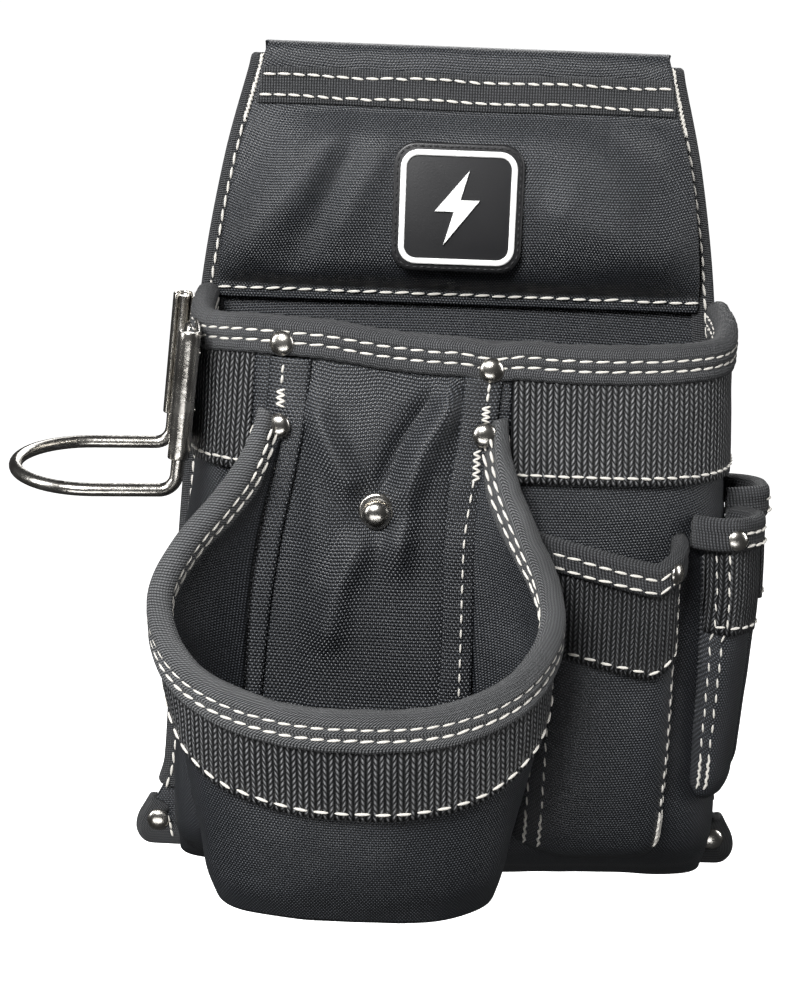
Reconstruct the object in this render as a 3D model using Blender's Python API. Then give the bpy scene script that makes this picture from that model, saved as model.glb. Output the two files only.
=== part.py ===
"""An electrician's belt pouch: a wide main pocket on a stiffened back panel with a belt tunnel, a deep
scooped pouch on its front, three tool pockets on its right, and a steel hammer loop on its left.

+Z is up and -Y is the front. The origin is in the middle of the belt tunnel, where a worn belt holds it.
"""

import math

import bmesh
import bpy
from mathutils import Matrix, Vector

# Driving dimensions. All sizes are in millimetres, and each mesh is scaled to metres as it is made.
MM = 0.001
GAP = 0.3  # clearance between pieces that touch
CLOTH = 1.6  # coated nylon with its lining
WEBBING = 2.0  # woven reinforcing band
TAPE = 1.2  # folded edge tape

PANEL_HEIGHT = 309.0  # the back panel, without the fold over its top
RIM_HEIGHT = 215.5  # top edge of the main pocket's wall, inside its rolled mouth
HAMMER_LEG_SPACING = 56.0
HAMMER_REACH = 57.0
WIRE_RADIUS = 2.4
RIVET_RADIUS = 4.4
POST_RADIUS = 1.5
ORIGIN = Vector((0.0, 31.0, 259.0))  # middle of the belt tunnel, from the middle of the foot

# Layers of the back panel, from front to rear, as (front y, rear y).
TAPE_FRONT = (37.0, 38.2)
FRONT_SKIN = (38.5, 39.9)
STIFFENER = (40.2, 42.2)
REAR_SKIN = (42.5, 43.9)
TAPE_REAR = (44.2, 45.4)
PAD_REAR = 47.6
WALL_BACK = 36.5  # where the main pocket's walls meet the back panel

# Layers on a pocket's wall, as (inner, outer) distances along its outward normal.
WALL = (0.0, CLOTH)
BAND = (CLOTH + GAP, CLOTH + GAP + WEBBING)
PATCH = (CLOTH + GAP, CLOTH + GAP + 1.2)
STRIP = (PATCH[1] + GAP, PATCH[1] + GAP + 1.4)

MATERIALS = {
    "nylon": ((0.020, 0.021, 0.023), 0.75, 0.0),
    "webbing": ((0.035, 0.036, 0.038), 0.80, 0.0),
    "edge_tape": ((0.075, 0.077, 0.080), 0.85, 0.0),
    "stiffener": ((0.050, 0.050, 0.055), 0.50, 0.0),
    "foam": ((0.100, 0.100, 0.105), 0.90, 0.0),
    "nickel": ((0.72, 0.69, 0.64), 0.20, 1.0),
    "rubber": ((0.018, 0.018, 0.020), 0.55, 0.0),
    "badge_white": ((0.80, 0.80, 0.78), 0.50, 0.0),
}


def clear_scene():
    for obj in list(bpy.data.objects):
        bpy.data.objects.remove(obj, do_unlink=True)


def material(name):
    """The Principled material of that name, made at its first use."""
    found = bpy.data.materials.get(name)
    if found:
        return found
    colour, roughness, metallic = MATERIALS[name]
    found = bpy.data.materials.new(name)
    found.use_nodes = True
    shader = found.node_tree.nodes["Principled BSDF"]
    shader.inputs["Base Color"].default_value = (*colour, 1.0)
    shader.inputs["Roughness"].default_value = roughness
    shader.inputs["Metallic"].default_value = metallic
    return found


def add_object(name, bm, finish):
    """Closes a bmesh in millimetres into an object in metres, in the given finish."""
    bmesh.ops.recalc_face_normals(bm, faces=bm.faces)
    bmesh.ops.translate(bm, vec=-ORIGIN, verts=bm.verts)
    bmesh.ops.scale(bm, vec=(MM, MM, MM), verts=bm.verts)
    mesh = bpy.data.meshes.new(name)
    bm.to_mesh(mesh)
    bm.free()
    mesh.shade_smooth()
    mesh.set_sharp_from_angle(angle=math.radians(40))
    mesh.materials.append(material(finish))
    obj = bpy.data.objects.new(name, mesh)
    bpy.context.scene.collection.objects.link(obj)
    return obj


def add_loft(bm, sections):
    """Adds a closed solid through equal loops of points: each loop is extruded to the next."""
    verts = [bm.verts.new(p) for p in sections[0]]
    ring = [bm.edges.new(pair) for pair in zip(verts, verts[1:] + verts[:1])]
    caps = [bm.faces.new(verts)]
    for section in sections[1:]:
        made = bmesh.ops.extrude_edge_only(bm, edges=ring)["geom"]
        fresh = {g for g in made if isinstance(g, bmesh.types.BMVert)}
        ring = [g for g in made if isinstance(g, bmesh.types.BMEdge) and set(g.verts) <= fresh]
        moved = []
        for old, place in zip(verts, section):
            vert = next(v for v in (e.other_vert(old) for e in old.link_edges) if v in fresh)
            vert.co = place
            moved.append(vert)
        verts = moved
    caps.append(bm.faces.new(verts))
    bmesh.ops.triangulate(bm, faces=caps)


def loft(name, sections, finish):
    bm = bmesh.new()
    add_loft(bm, sections)
    return add_object(name, bm, finish)


def add_turned(bm, profile, place, axis, steps=16):
    """Adds a solid turned from (radius, height) points about an axis through a place."""
    turn = Vector((0, 0, 1)).rotation_difference(Vector(axis)).to_matrix()
    form = bmesh.new()
    verts = [form.verts.new((r, 0.0, h)) for r, h in profile]
    edges = [form.edges.new(pair) for pair in zip(verts, verts[1:])]
    bmesh.ops.spin(form, geom=verts + edges, cent=(0, 0, 0), axis=(0, 0, 1), angle=math.tau, steps=steps)
    bmesh.ops.remove_doubles(form, verts=form.verts, dist=0.001)
    bmesh.ops.dissolve_degenerate(form, edges=form.edges, dist=0.0001)
    bmesh.ops.recalc_face_normals(form, faces=form.faces)
    if form.calc_volume(signed=True) < 0.0:
        bmesh.ops.reverse_faces(form, faces=form.faces)
    bmesh.ops.rotate(form, verts=form.verts, matrix=turn)
    bmesh.ops.translate(form, verts=form.verts, vec=place)
    moved = bpy.data.meshes.new("turned")
    form.to_mesh(moved)
    form.free()
    bm.from_mesh(moved)
    bpy.data.meshes.remove(moved)


def slab(name, outline, y_range, finish):
    """A flat sheet: an outline of (x, z) points, extruded from front to rear."""
    bm = bmesh.new()
    add_slab(bm, outline, y_range)
    return add_object(name, bm, finish)


def add_slab(bm, outline, y_range):
    face = bm.faces.new([bm.verts.new((x, y_range[0], z)) for x, z in outline])
    made = bmesh.ops.extrude_face_region(bm, geom=[face])["geom"]
    fresh = [g for g in made if isinstance(g, bmesh.types.BMVert)]
    bmesh.ops.translate(bm, verts=fresh, vec=(0, y_range[1] - y_range[0], 0))


def cut_away(obj, cutter):
    """Takes a cutter's shape out of an object, and leaves the cutter as a hidden guide."""
    cutter.hide_render = True
    cutter.display_type = "WIRE"
    cut = obj.modifiers.new(cutter.name, "BOOLEAN")
    cut.operation = "DIFFERENCE"
    cut.object = cutter


def between(table, x):
    """The value at x on straight lines between a table's points."""
    keys = sorted(table)
    if x <= keys[0]:
        return table[keys[0]]
    for low, high in zip(keys, keys[1:]):
        if x <= high:
            share = (x - low) / (high - low)
            return table[low] + share * (table[high] - table[low])
    return table[keys[-1]]


def power(value, exponent):
    return math.copysign(abs(value) ** exponent, value)


# ---------------------------------------------------------------------------------------------
# The main pocket's surface. In plan it is half a rounded rectangle, open to the back panel, and
# its lower front curves back under the bag. The angle t runs from 0 at the left to pi at the right.

MAIN_HALF_WIDTH = {2.5: 101.5, 70.0: 102.0, 130.0: 100.0, 172.0: 96.5, RIM_HEIGHT: 94.5}
MAIN_FRONT = {2.5: 19.0, 10.0: 6.0, 18.0: -10.0, 28.0: -22.0, 45.0: -29.0, 85.0: -33.0,
              130.0: -33.5, 172.0: -32.5, RIM_HEIGHT: -31.5}
MAIN_SQUARENESS = 4.4
MAIN_MIDDLE = 2.0  # the bag sits a little to the right of the back panel's middle
MAIN_LEVELS = [2.5, 10.0, 18.0, 28.0, 45.0, 85.0, 130.0, 172.0, 194.0, RIM_HEIGHT]
# How far the mouth stands above or below its middle height, round the plan angle t.
MOUTH_LIFT = {0.0: 2.5, 0.5: -1.0, 1.0: 0.5, 1.3: 0.0, 1.7: -5.5, 2.2: -5.0, 2.7: -4.0, math.pi: 2.5}
LIFT_FOOT = 168.0


def main_curve(t, z):
    half = between(MAIN_HALF_WIDTH, z)
    depth = WALL_BACK - between(MAIN_FRONT, z)
    k = 2.0 / MAIN_SQUARENESS
    lift = between(MOUTH_LIFT, t) * max(0.0, z - LIFT_FOOT) / (RIM_HEIGHT - LIFT_FOOT)
    x = MAIN_MIDDLE - half * power(math.cos(t), k)
    return Vector((x, WALL_BACK - depth * power(math.sin(t), k), z + lift))


def main_normal(t, z):
    step_t, step_z = 0.01, 3.0
    along = main_curve(min(t + step_t, math.pi), z) - main_curve(max(t - step_t, 0.0), z)
    up = main_curve(t, min(z + step_z, RIM_HEIGHT)) - main_curve(t, max(z - step_z, 2.5))
    return up.cross(along).normalized() * -1.0


def main_point(t, z, off):
    return main_curve(t, z) + main_normal(t, z) * off


def main_angle(x, z=RIM_HEIGHT):
    """The angle t of a place on the pocket's front, from its x at a height."""
    share = (x - MAIN_MIDDLE) / between(MAIN_HALF_WIDTH, z)
    return math.acos(-power(share, MAIN_SQUARENESS / 2.0))


PATCH_X = (-71.0, 18.0)  # the plain panel behind the scooped pouch
STRIP_X = ((-67.0, -56.0), (3.5, 13.5))
FRONT_POCKET_X = (30.0, 83.0)
SIDE_POCKET_T = (2.36, 2.82)
REAR_POCKET_T = (2.90, 3.10)

MAIN_STATIONS = sorted(
    [math.pi * i / 26.0 for i in range(27)]
    + [main_angle(x) for x in (*PATCH_X, *STRIP_X[0], *STRIP_X[1])]
)


def stations(low, high):
    """The shared plan angles from low to high, ends included."""
    inside = [t for t in MAIN_STATIONS if low + 0.004 < t < high - 0.004]
    return [low, *inside, high]


def sheet_section(point, levels, layer):
    """A loop up a sheet's outer face and down its inner one."""
    outer = [point(z, layer[1]) for z in levels]
    inner = [point(z, layer[0]) for z in reversed(levels)]
    return outer + inner


def levels_between(low, high, knots):
    return [low, *[z for z in knots if low + 0.5 < z < high - 0.5], high]


def main_sheet(name, t_range, z_range, layer, finish):
    """A sheet that lies on the main pocket's surface."""
    levels = levels_between(*z_range, MAIN_LEVELS)
    sections = [
        sheet_section(lambda z, off: main_point(t, z, off), levels, layer)
        for t in stations(*t_range)
    ]
    return loft(name, sections, finish)


# ---------------------------------------------------------------------------------------------
# The rolled binding round a pocket's mouth: a folded tape whose two legs hold the wall's top edge,
# with a round bead over it. A section is in (outward, up) from the top edge of the wall.

BEAD_CENTRE = (1.3, 3.4)
BEAD_RADIUS = 4.2
CORE_RADIUS = BEAD_RADIUS - TAPE - GAP
LEG_OUTSIDE = BAND[1] + GAP
LEG_OUTER_DROP = 5.8
LEG_INNER_DROP = 5.4
LINING_GAP = 1.1


def arc(centre, radius, start, end, count):
    """Points on an arc, in degrees from the outward direction."""
    angles = [math.radians(start + (end - start) * i / (count - 1)) for i in range(count)]
    return [(centre[0] + radius * math.cos(a), centre[1] + radius * math.sin(a)) for a in angles]


def binding_profile(ease=0.0):
    """ease moves the outer leg further out, for a wall that curves more between its stations."""
    leg = LEG_OUTSIDE + ease
    outside = leg + TAPE
    inside = -LINING_GAP - TAPE
    outer = arc(BEAD_CENTRE, BEAD_RADIUS, -32.0, 212.0, 8)
    inner = arc(BEAD_CENTRE, BEAD_RADIUS - TAPE, 200.0, -20.0, 7)
    return [
        (outside, -LEG_OUTER_DROP), *outer, (inside, -LEG_INNER_DROP),
        (-LINING_GAP, -LEG_INNER_DROP), *inner, (leg, -LEG_OUTER_DROP),
    ]


def sweep(name, places, profile, finish):
    """Sweeps a profile along places, each given as (point, outward, up)."""
    sections = [[p + n * a + b * c for a, c in profile] for p, n, b in places]
    return loft(name, sections, finish)


def circle(centre, radius, count):
    return arc(centre, radius, 0.0, 360.0 - 360.0 / count, count)


# ---------------------------------------------------------------------------------------------
# Back panel: two skins over a plastic stiffener, with tape folded over its edge.

# Half of the outline, from the foot up, as (x, z). The foot's corners stand out as rounded ears.
PANEL_SIDE = [(112.0, 1.5), (116.2, 3.0), (117.6, 7.0), (116.6, 12.0), (112.6, 18.5), (108.2, 25.0),
              (106.0, 33.0), (104.5, 70.0), (101.5, 130.0), (97.5, 190.0), (94.0, 227.0),
              (86.5, 272.0), (77.0, PANEL_HEIGHT)]
TAPE_WIDTH = 9.0
STIFFENER_INSET = 13.0
PAD_INSET = 14.0
PAD_TOP = 276.0


def outline(side, inset=0.0, top=None, foot=None):
    """The whole outline of the back panel, brought in by an inset."""
    half = []
    for x, z in side:
        z = max(z, 1.5 + inset if foot is None else foot)
        z = min(z, PANEL_HEIGHT if top is None else top)
        half.append((x - inset, z))
    kept = [half[0]]
    for point in half[1:]:
        if abs(point[1] - kept[-1][1]) > 0.4 or abs(point[0] - kept[-1][0]) > 0.4:
            kept.append(point)
    return kept + [(-x, z) for x, z in reversed(kept)]


def straight_side(inset, foot, top):
    """The panel's outline without its ears."""
    return [(between({z: x for x, z in PANEL_SIDE[6:]}, z) - inset, z)
            for z in (foot, 70.0, 130.0, 190.0, 227.0, 272.0, top) if foot <= z <= top]


def back_panel():
    slab("back_panel_front_skin", outline(PANEL_SIDE), FRONT_SKIN, "nylon")
    board = straight_side(STIFFENER_INSET, 14.0, 298.0)
    slab("back_stiffener", board + [(-x, z) for x, z in reversed(board)], STIFFENER, "stiffener")
    rear = slab("back_panel_rear_skin", outline(PANEL_SIDE), REAR_SKIN, "nylon")
    pad = straight_side(PAD_INSET, 16.0, PAD_TOP)
    bm = bmesh.new()
    add_slab(bm, pad + [(-x, z) for x, z in reversed(pad)], (REAR_SKIN[1] - 0.4, PAD_REAR))
    padding = add_object("pad_form", bm, "nylon")
    padding.hide_render = True
    padding.display_type = "WIRE"
    union = rear.modifiers.new("pad", "BOOLEAN")
    union.operation = "UNION"
    union.object = padding


def edge_tapes():
    """The folded tape, in three lengths: up each side from below the ear, and along the foot."""
    profile = [
        (-TAPE_WIDTH, TAPE_FRONT[0]), (GAP + TAPE, TAPE_FRONT[0]),
        (GAP + TAPE, TAPE_REAR[1]), (-TAPE_WIDTH, TAPE_REAR[1]),
        (-TAPE_WIDTH, TAPE_REAR[0]), (GAP, TAPE_REAR[0]),
        (GAP, TAPE_FRONT[1]), (-TAPE_WIDTH, TAPE_FRONT[1]),
    ]

    def place(x, z, out_x, out_z):
        out = Vector((out_x, 0.0, out_z)).normalized()
        return [Vector((x, 0.0, z)) + out * d + Vector((0.0, y, 0.0)) for d, y in profile]

    for name, side in (("edge_tape_left", -1.0), ("edge_tape_right", 1.0)):
        sections = []
        path = [*PANEL_SIDE[5:-1], (78.0, 305.5)]
        for i, (x, z) in enumerate(path):
            before, after = path[max(i - 1, 0)], path[min(i + 1, len(path) - 1)]
            run_x, run_z = after[0] - before[0], after[1] - before[1]
            sections.append(place(side * x, z, side * run_z, -run_x))
        loft(name, sections, "edge_tape")
    foot = []
    corner = PANEL_SIDE[:5]
    path = [(-x, z) for x, z in reversed(corner)] + [(-60.0, 1.5), (0.0, 1.5), (60.0, 1.5)] + corner
    fan = Vector((98.0, 0.0, 15.0))
    for x, z in path:
        if abs(x) < 95.0:
            foot.append(place(x, z, 0.0, -1.0))
            continue
        out = Vector((abs(x), 0.0, z)) - fan
        foot.append(place(x, z, math.copysign(out.x, x), out.z))
    loft("edge_tape_foot", foot, "edge_tape")


# ---------------------------------------------------------------------------------------------
# Belt tunnel: one panel that starts on the rear, folds over the top, bows out in front so that a
# belt passes behind it, and is sewn down again above the main pocket's mouth.

# The panel's front face as (y, z), from its lower hem up and over to the rear.
TUNNEL_PATH = [(35.4, 220.5), (35.4, 226.0), (31.0, 228.0), (26.4, 232.5), (24.0, 241.0),
               (23.4, 252.0), (23.4, 265.0), (24.6, 276.0), (28.2, 284.0), (33.2, 288.6),
               (35.2, 291.6), (35.2, 306.5), (36.2, 312.0), (38.6, 314.6), (41.6, 315.2),
               (45.2, 314.0), (46.9, 310.5), (47.1, 304.0), (47.1, 284.0)]
TUNNEL_HALF_WIDTH = {220.0: 93.0, 226.0: 92.5, 265.0: 88.5, 293.0: 82.0, 307.0: 78.5, 309.5: 75.0}
TUNNEL_SHEET = 1.4
TUNNEL_SPAN = [-1.0, -0.94, -0.82, -0.5, 0.0, 0.5, 0.82, 0.94, 1.0]
HEM_Y = 35.4


def tunnel_front(share, y, z):
    """The bow of the panel, which eases back towards its side edges."""
    if y < HEM_Y and z < 294.0:
        return y + (HEM_Y - y) * 0.55 * abs(share) ** 8
    return y


def tunnel_panel():
    sections = []
    count = len(TUNNEL_PATH)
    for share in TUNNEL_SPAN:
        outer, inner = [], []
        for i, (y, z) in enumerate(TUNNEL_PATH):
            a, b = TUNNEL_PATH[max(i - 1, 0)], TUNNEL_PATH[min(i + 1, count - 1)]
            run = Vector((b[0] - a[0], b[1] - a[1])).normalized()
            half = between(TUNNEL_HALF_WIDTH, z) if y < 37.5 else TUNNEL_HALF_WIDTH[309.5]
            x = share * half
            front = tunnel_front(share, y, z)
            outer.append(Vector((x, front, z)))
            inner.append(Vector((x, front + run.y * TUNNEL_SHEET, z - run.x * TUNNEL_SHEET)))
        sections.append(outer + inner[::-1])
    loft("tunnel_panel", sections, "nylon")
    sides = [(80.0, 292.6), (77.5, 305.6)]
    strip = sides + [(-x, z) for x, z in reversed(sides)]
    slab("tunnel_webbing_strip", strip, (33.2, 34.9), "webbing")


BADGE_CENTRE = (-2.0, 258.0)
BADGE_HALF = (24.0, 23.5)
BADGE_CORNER = 8.0
BADGE_Y = (19.9, 22.9)


def rounded_box(centre, half, radius, count=4):
    """A rounded rectangle as (x, z) points, anticlockwise from its right side."""
    points = []
    for quarter, (sx, sz) in enumerate(((1, 1), (-1, 1), (-1, -1), (1, -1))):
        middle = (centre[0] + sx * (half[0] - radius), centre[1] + sz * (half[1] - radius))
        points += arc(middle, radius, 90.0 * quarter, 90.0 * quarter + 90.0, count)
    return points


def badge():
    """A moulded rubber badge, with a raised frame and a lightning bolt in white."""
    slab("badge_base", rounded_box(BADGE_CENTRE, BADGE_HALF, BADGE_CORNER), BADGE_Y, "rubber")
    front, back = BADGE_Y[0] - GAP - 0.9, BADGE_Y[0] - GAP
    half = [size - 2.5 for size in BADGE_HALF]
    frame = slab("badge_frame", rounded_box(BADGE_CENTRE, half, 6.0), (front, back), "badge_white")
    half = [size - 4.7 for size in BADGE_HALF]
    window = slab("badge_window", rounded_box(BADGE_CENTRE, half, 4.4), (front - 1.0, back + 1.0), "rubber")
    cut_away(frame, window)
    bolt = [(3.5, 13.0), (-8.0, -1.5), (-1.2, -1.5), (-4.5, -13.0), (7.5, 2.8), (0.8, 2.8)]
    bolt = [(BADGE_CENTRE[0] + x, BADGE_CENTRE[1] + z) for x, z in bolt]
    slab("badge_bolt", bolt, (front, back), "badge_white")


# ---------------------------------------------------------------------------------------------
# Main pocket: wall, base, webbing bands on both sides of the plain panel, and the rolled mouth.

BAND_BOTTOM = 168.5
BAND_TOP = RIM_HEIGHT - 1.0
PATCH_BOTTOM = 50.0


def main_pocket():
    main_sheet("main_pocket_wall", (0.0, math.pi), (2.5, RIM_HEIGHT), WALL, "nylon")
    foot = [main_point(t, 2.5, -0.6) for t in stations(0.0, math.pi)]
    lower = [Vector((p.x, p.y, 0.0)) for p in foot]
    upper = [Vector((p.x, p.y, 1.6)) for p in foot]
    loft("main_pocket_base", [lower, upper], "nylon")
    left, right = main_angle(PATCH_X[0]), main_angle(PATCH_X[1])
    spacing = 0.004
    main_sheet("main_band_left", (0.0, left - spacing), (BAND_BOTTOM, BAND_TOP), BAND, "webbing")
    main_sheet("main_band_right", (right + spacing, math.pi), (BAND_BOTTOM, BAND_TOP), BAND, "webbing")
    main_sheet("pouch_backing_panel", (left, right), (PATCH_BOTTOM, BAND_TOP), PATCH, "nylon")
    clear = 0.0005  # the mouth's ends stop short of the belt tunnel's hem
    places = [
        (main_curve(t, RIM_HEIGHT), main_normal(t, RIM_HEIGHT), Vector((0, 0, 1)))
        for t in [clear, *stations(0.0, math.pi)[1:-1], math.pi - clear]
    ]
    sweep("main_rim_binding", places, binding_profile(), "edge_tape")
    sweep("main_rim_core", places, circle(BEAD_CENTRE, CORE_RADIUS, 8), "foam")


def seam_strips():
    """The folded seams that hold the scooped pouch's sides to the main pocket."""
    for name, (x0, x1) in (("pouch_seam_strip_left", STRIP_X[0]), ("pouch_seam_strip_right", STRIP_X[1])):
        top = RIM_HEIGHT - LEG_OUTER_DROP - 0.8
        main_sheet(name, (main_angle(x0), main_angle(x1)), (100.0, top), STRIP, "nylon")


# ---------------------------------------------------------------------------------------------
# The scooped pouch. In plan it is a bulb: a neck on the main pocket's front that swells to its
# widest and closes in front. Its mouth drops from the neck's top to a low lip in front. The share s
# runs from 0 at the left of the neck, through 0.5 in front, to 1 at the right.

POUCH_FOOT = 26.0
POUCH_LIP = 101.5
POUCH_NECK_TOP = 184.0
POUCH_MIDDLE = {26.0: -30.0, 60.0: -30.5, 130.0: -32.3, 184.0: -26.3}
POUCH_NECK = {26.0: 43.0, 60.0: 42.0, 105.0: 40.0, 184.0: 34.5}
POUCH_WIDEST = {26.0: 48.5, 40.0: 51.5, 60.0: 54.5, 90.0: 60.5, 128.0: 65.0, 160.0: 56.0, 184.0: 43.0}
POUCH_FRONT = {26.0: -86.0, 40.0: -96.0, 60.0: -104.0, 80.0: -108.0, 102.0: -111.0, 184.0: -111.0}
POUCH_SQUARENESS = {26.0: 3.0, 60.0: 2.4, 102.0: 2.05, 184.0: 2.0}
POUCH_STEPS = 26
POUCH_ROWS = 9
POUCH_BAND = (CLOTH + 0.9, CLOTH + 2.5)


def pouch_back(z):
    """Where the pouch's neck meets the strips on the main pocket."""
    return between(MAIN_FRONT, z) - STRIP[1] - GAP - 2.2


def pouch_curve(s, z):
    widest, neck = between(POUCH_WIDEST, z), between(POUCH_NECK, z)
    k = 2.0 / between(POUCH_SQUARENESS, z)
    start = math.asin(min((neck / widest) ** (1.0 / k), 1.0))
    back, front = pouch_back(z), between(POUCH_FRONT, z)
    depth = (back - front) / (1.0 + math.cos(start) ** k)
    angle = start + abs(2.0 * s if s < 0.5 else 2.0 * (1.0 - s)) * (math.pi - start)
    x = widest * power(math.sin(angle), k)
    y = front + depth + depth * power(math.cos(angle), k)
    return Vector((between(POUCH_MIDDLE, z) + (-x if s < 0.5 else x), y, z))


def pouch_mouth(s):
    """The height of the wall's top edge."""
    share = 2.0 * min(s, 1.0 - s)
    return POUCH_LIP + (POUCH_NECK_TOP - POUCH_LIP) * (1.0 - share) ** 2.4


def pouch_surface(s, v):
    return pouch_curve(s, POUCH_FOOT + v * (pouch_mouth(s) - POUCH_FOOT))


def pouch_normal(s, v):
    step = 0.012
    along = pouch_surface(min(s + step, 1.0), v) - pouch_surface(max(s - step, 0.0), v)
    up = pouch_surface(s, min(v + 0.03, 1.0)) - pouch_surface(s, max(v - 0.03, 0.0))
    return along.cross(up).normalized()


def pouch_point(s, v, off):
    return pouch_surface(s, v) + pouch_normal(s, v) * off


def pouch_steps(trim):
    """The shared stations round the pouch, less some at each end."""
    return [i / POUCH_STEPS for i in range(trim, POUCH_STEPS + 1 - trim)]


def pouch_sheet(name, steps, rows, layer, finish):
    """A sheet on the pouch's surface; rows maps a station to its shares of the wall's height."""
    sections = [sheet_section(lambda v, off: pouch_point(s, v, off), rows(s), layer) for s in steps]
    return loft(name, sections, finish)


POUCH_BAND_DROP = 30.5
POUCH_BAND_TOP = 11.0  # below the binding, also where the mouth is steep


def pouch_band_rows(s):
    height = pouch_mouth(s) - POUCH_FOOT
    return [1.0 - POUCH_BAND_DROP / height, 1.0 - 0.6 * POUCH_BAND_DROP / height,
            1.0 - POUCH_BAND_TOP / height]


def scooped_pouch():
    pouch_sheet("pouch_wall", pouch_steps(0), lambda s: [i / POUCH_ROWS for i in range(POUCH_ROWS + 1)],
                WALL, "nylon")
    pouch_sheet("pouch_band", pouch_steps(1), pouch_band_rows, POUCH_BAND, "webbing")
    foot = [pouch_point(s, 0.0, -0.5) for s in pouch_steps(0)]
    lower = [Vector((p.x, p.y, POUCH_FOOT - 1.8)) for p in foot]
    upper = [Vector((p.x, p.y, POUCH_FOOT - GAP)) for p in foot]
    loft("pouch_base", [lower, upper], "nylon")
    places = []
    for s in pouch_steps(1):
        run = pouch_surface(min(s + 0.01, 1.0), 1.0) - pouch_surface(max(s - 0.01, 0.0), 1.0)
        out = pouch_normal(s, 1.0)
        places.append((pouch_surface(s, 1.0), out, run.cross(out).normalized() * -1.0))
    sweep("pouch_rim_binding", places, binding_profile(0.4), "edge_tape")
    sweep("pouch_rim_core", places, circle(BEAD_CENTRE, CORE_RADIUS, 8), "foam")


# ---------------------------------------------------------------------------------------------
# Tool pockets: each is a strip of cloth sewn to the main pocket along both sides and bowed out
# between them, with webbing round its mouth and a folded tape over the edge.

TOOL_FLANGE = CLOTH + 0.8
SEAT_CLEARANCE = 1.8
TOOL_STEPS = 12
TOOL_WALL = 1.4
TOOL_BAND = (TOOL_WALL + 0.6, TOOL_WALL + 2.2)
TOOL_TAPE = (TOOL_BAND[1] + GAP, TOOL_BAND[1] + GAP + 1.0)
TOOL_SEATS = {}


def tool_pocket(name, t_range, foot, mouth, bow):
    """foot is the lowest height, mouth the heights of the top edge at the left, lowest and right."""

    def top(s):
        left, low, right = mouth
        return low + (left - low) * max(0.0, 1.0 - s / 0.7) ** 1.3 + (right - low) * max(0.0, s - 0.7) / 0.3

    def point(s, z, off):
        t = t_range[0] + s * (t_range[1] - t_range[0])
        fall = (z - foot) / (mouth[1] - foot)
        out = bow * (0.45 + 0.55 * min(fall, 1.0)) * (1.0 - abs(2.0 * s - 1.0) ** 5)
        return main_point(t, z, TOOL_FLANGE + out + off)

    def rivet_seat(s):
        """Where a rivet sits near a side of the mouth, its direction, and its depth to the lining."""
        z, span = top(s) - 5.5, t_range[1] - t_range[0]
        across = point(s + 0.06, z, TOOL_TAPE[1]) - point(s - 0.06, z, TOOL_TAPE[1])
        out = (across.cross(Vector((0, 0, 1))).normalized() + 1.5 * main_normal(t_range[0] + s * span, z))
        out.normalize()
        seat = point(s, z, TOOL_TAPE[1]) + out * SEAT_CLEARANCE
        depth = 0.0
        while depth < 40.0 and not inside_pocket(seat - out * depth):
            depth += 0.2
        return seat, out, depth + SEAT_CLEARANCE + 2.0

    TOOL_SEATS[name] = rivet_seat

    def layer(part, drop, thickness, start, finish):
        sections = []
        for i in range(TOOL_STEPS + 1):
            s = i / TOOL_STEPS
            crest = top(s) - start
            base = foot if drop is None else crest - drop
            rows = levels_between(base, crest, MAIN_LEVELS)
            sections.append(sheet_section(lambda z, off: point(s, z, off), rows, thickness))
        loft(f"{name}_{part}", sections, finish)

    layer("wall", None, (0.0, TOOL_WALL), 0.0, "nylon")
    layer("band", 40.0, TOOL_BAND, 0.0, "webbing")
    layer("edge_tape", 11.0, TOOL_TAPE, -0.6, "edge_tape")


def tool_pockets():
    front = (main_angle(FRONT_POCKET_X[0], 100.0), main_angle(FRONT_POCKET_X[1], 100.0))
    tool_pocket("front_tool_pocket", front, 30.0, (151.0, 141.5, 149.0), 12.0)
    tool_pocket("side_tool_pocket", SIDE_POCKET_T, 50.0, (155.0, 153.0, 153.5), 11.0)
    tool_pocket("rear_tool_pocket", REAR_POCKET_T, 52.0, (160.0, 159.0, 160.0), 11.0)


# ---------------------------------------------------------------------------------------------
# Hammer holder: a plate riveted to the pocket's left side, with both upright edges rolled round the
# legs of a bent wire loop. It is built flat, facing -X, and then turned and tilted into place.

HAMMER_CENTRE = Vector((-101.6, -4.0, 197.5))
HAMMER_TURN = Matrix.Rotation(math.radians(5.0), 3, "Z") @ Matrix.Rotation(math.radians(6.0), 3, "X")
PLATE_HALF_HEIGHT = 23.0
PLATE_SHEET = 1.2
CURL_RADIUS = WIRE_RADIUS + GAP
LEG_DROP = 35.0  # from the plate's middle down to the loop
BEND_RADIUS = 6.0
HAMMER_RIVETS = {"upper_rear": (14.0, 12.0), "upper_front": (-14.0, 12.0),
                 "lower_rear": (14.0, -9.0), "lower_front": (-14.0, -9.0)}


def on_holder(x, y, z):
    """A point on the turned and tilted holder, in the pouch's frame."""
    return HAMMER_CENTRE + HAMMER_TURN @ Vector((x, y, z))


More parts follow.
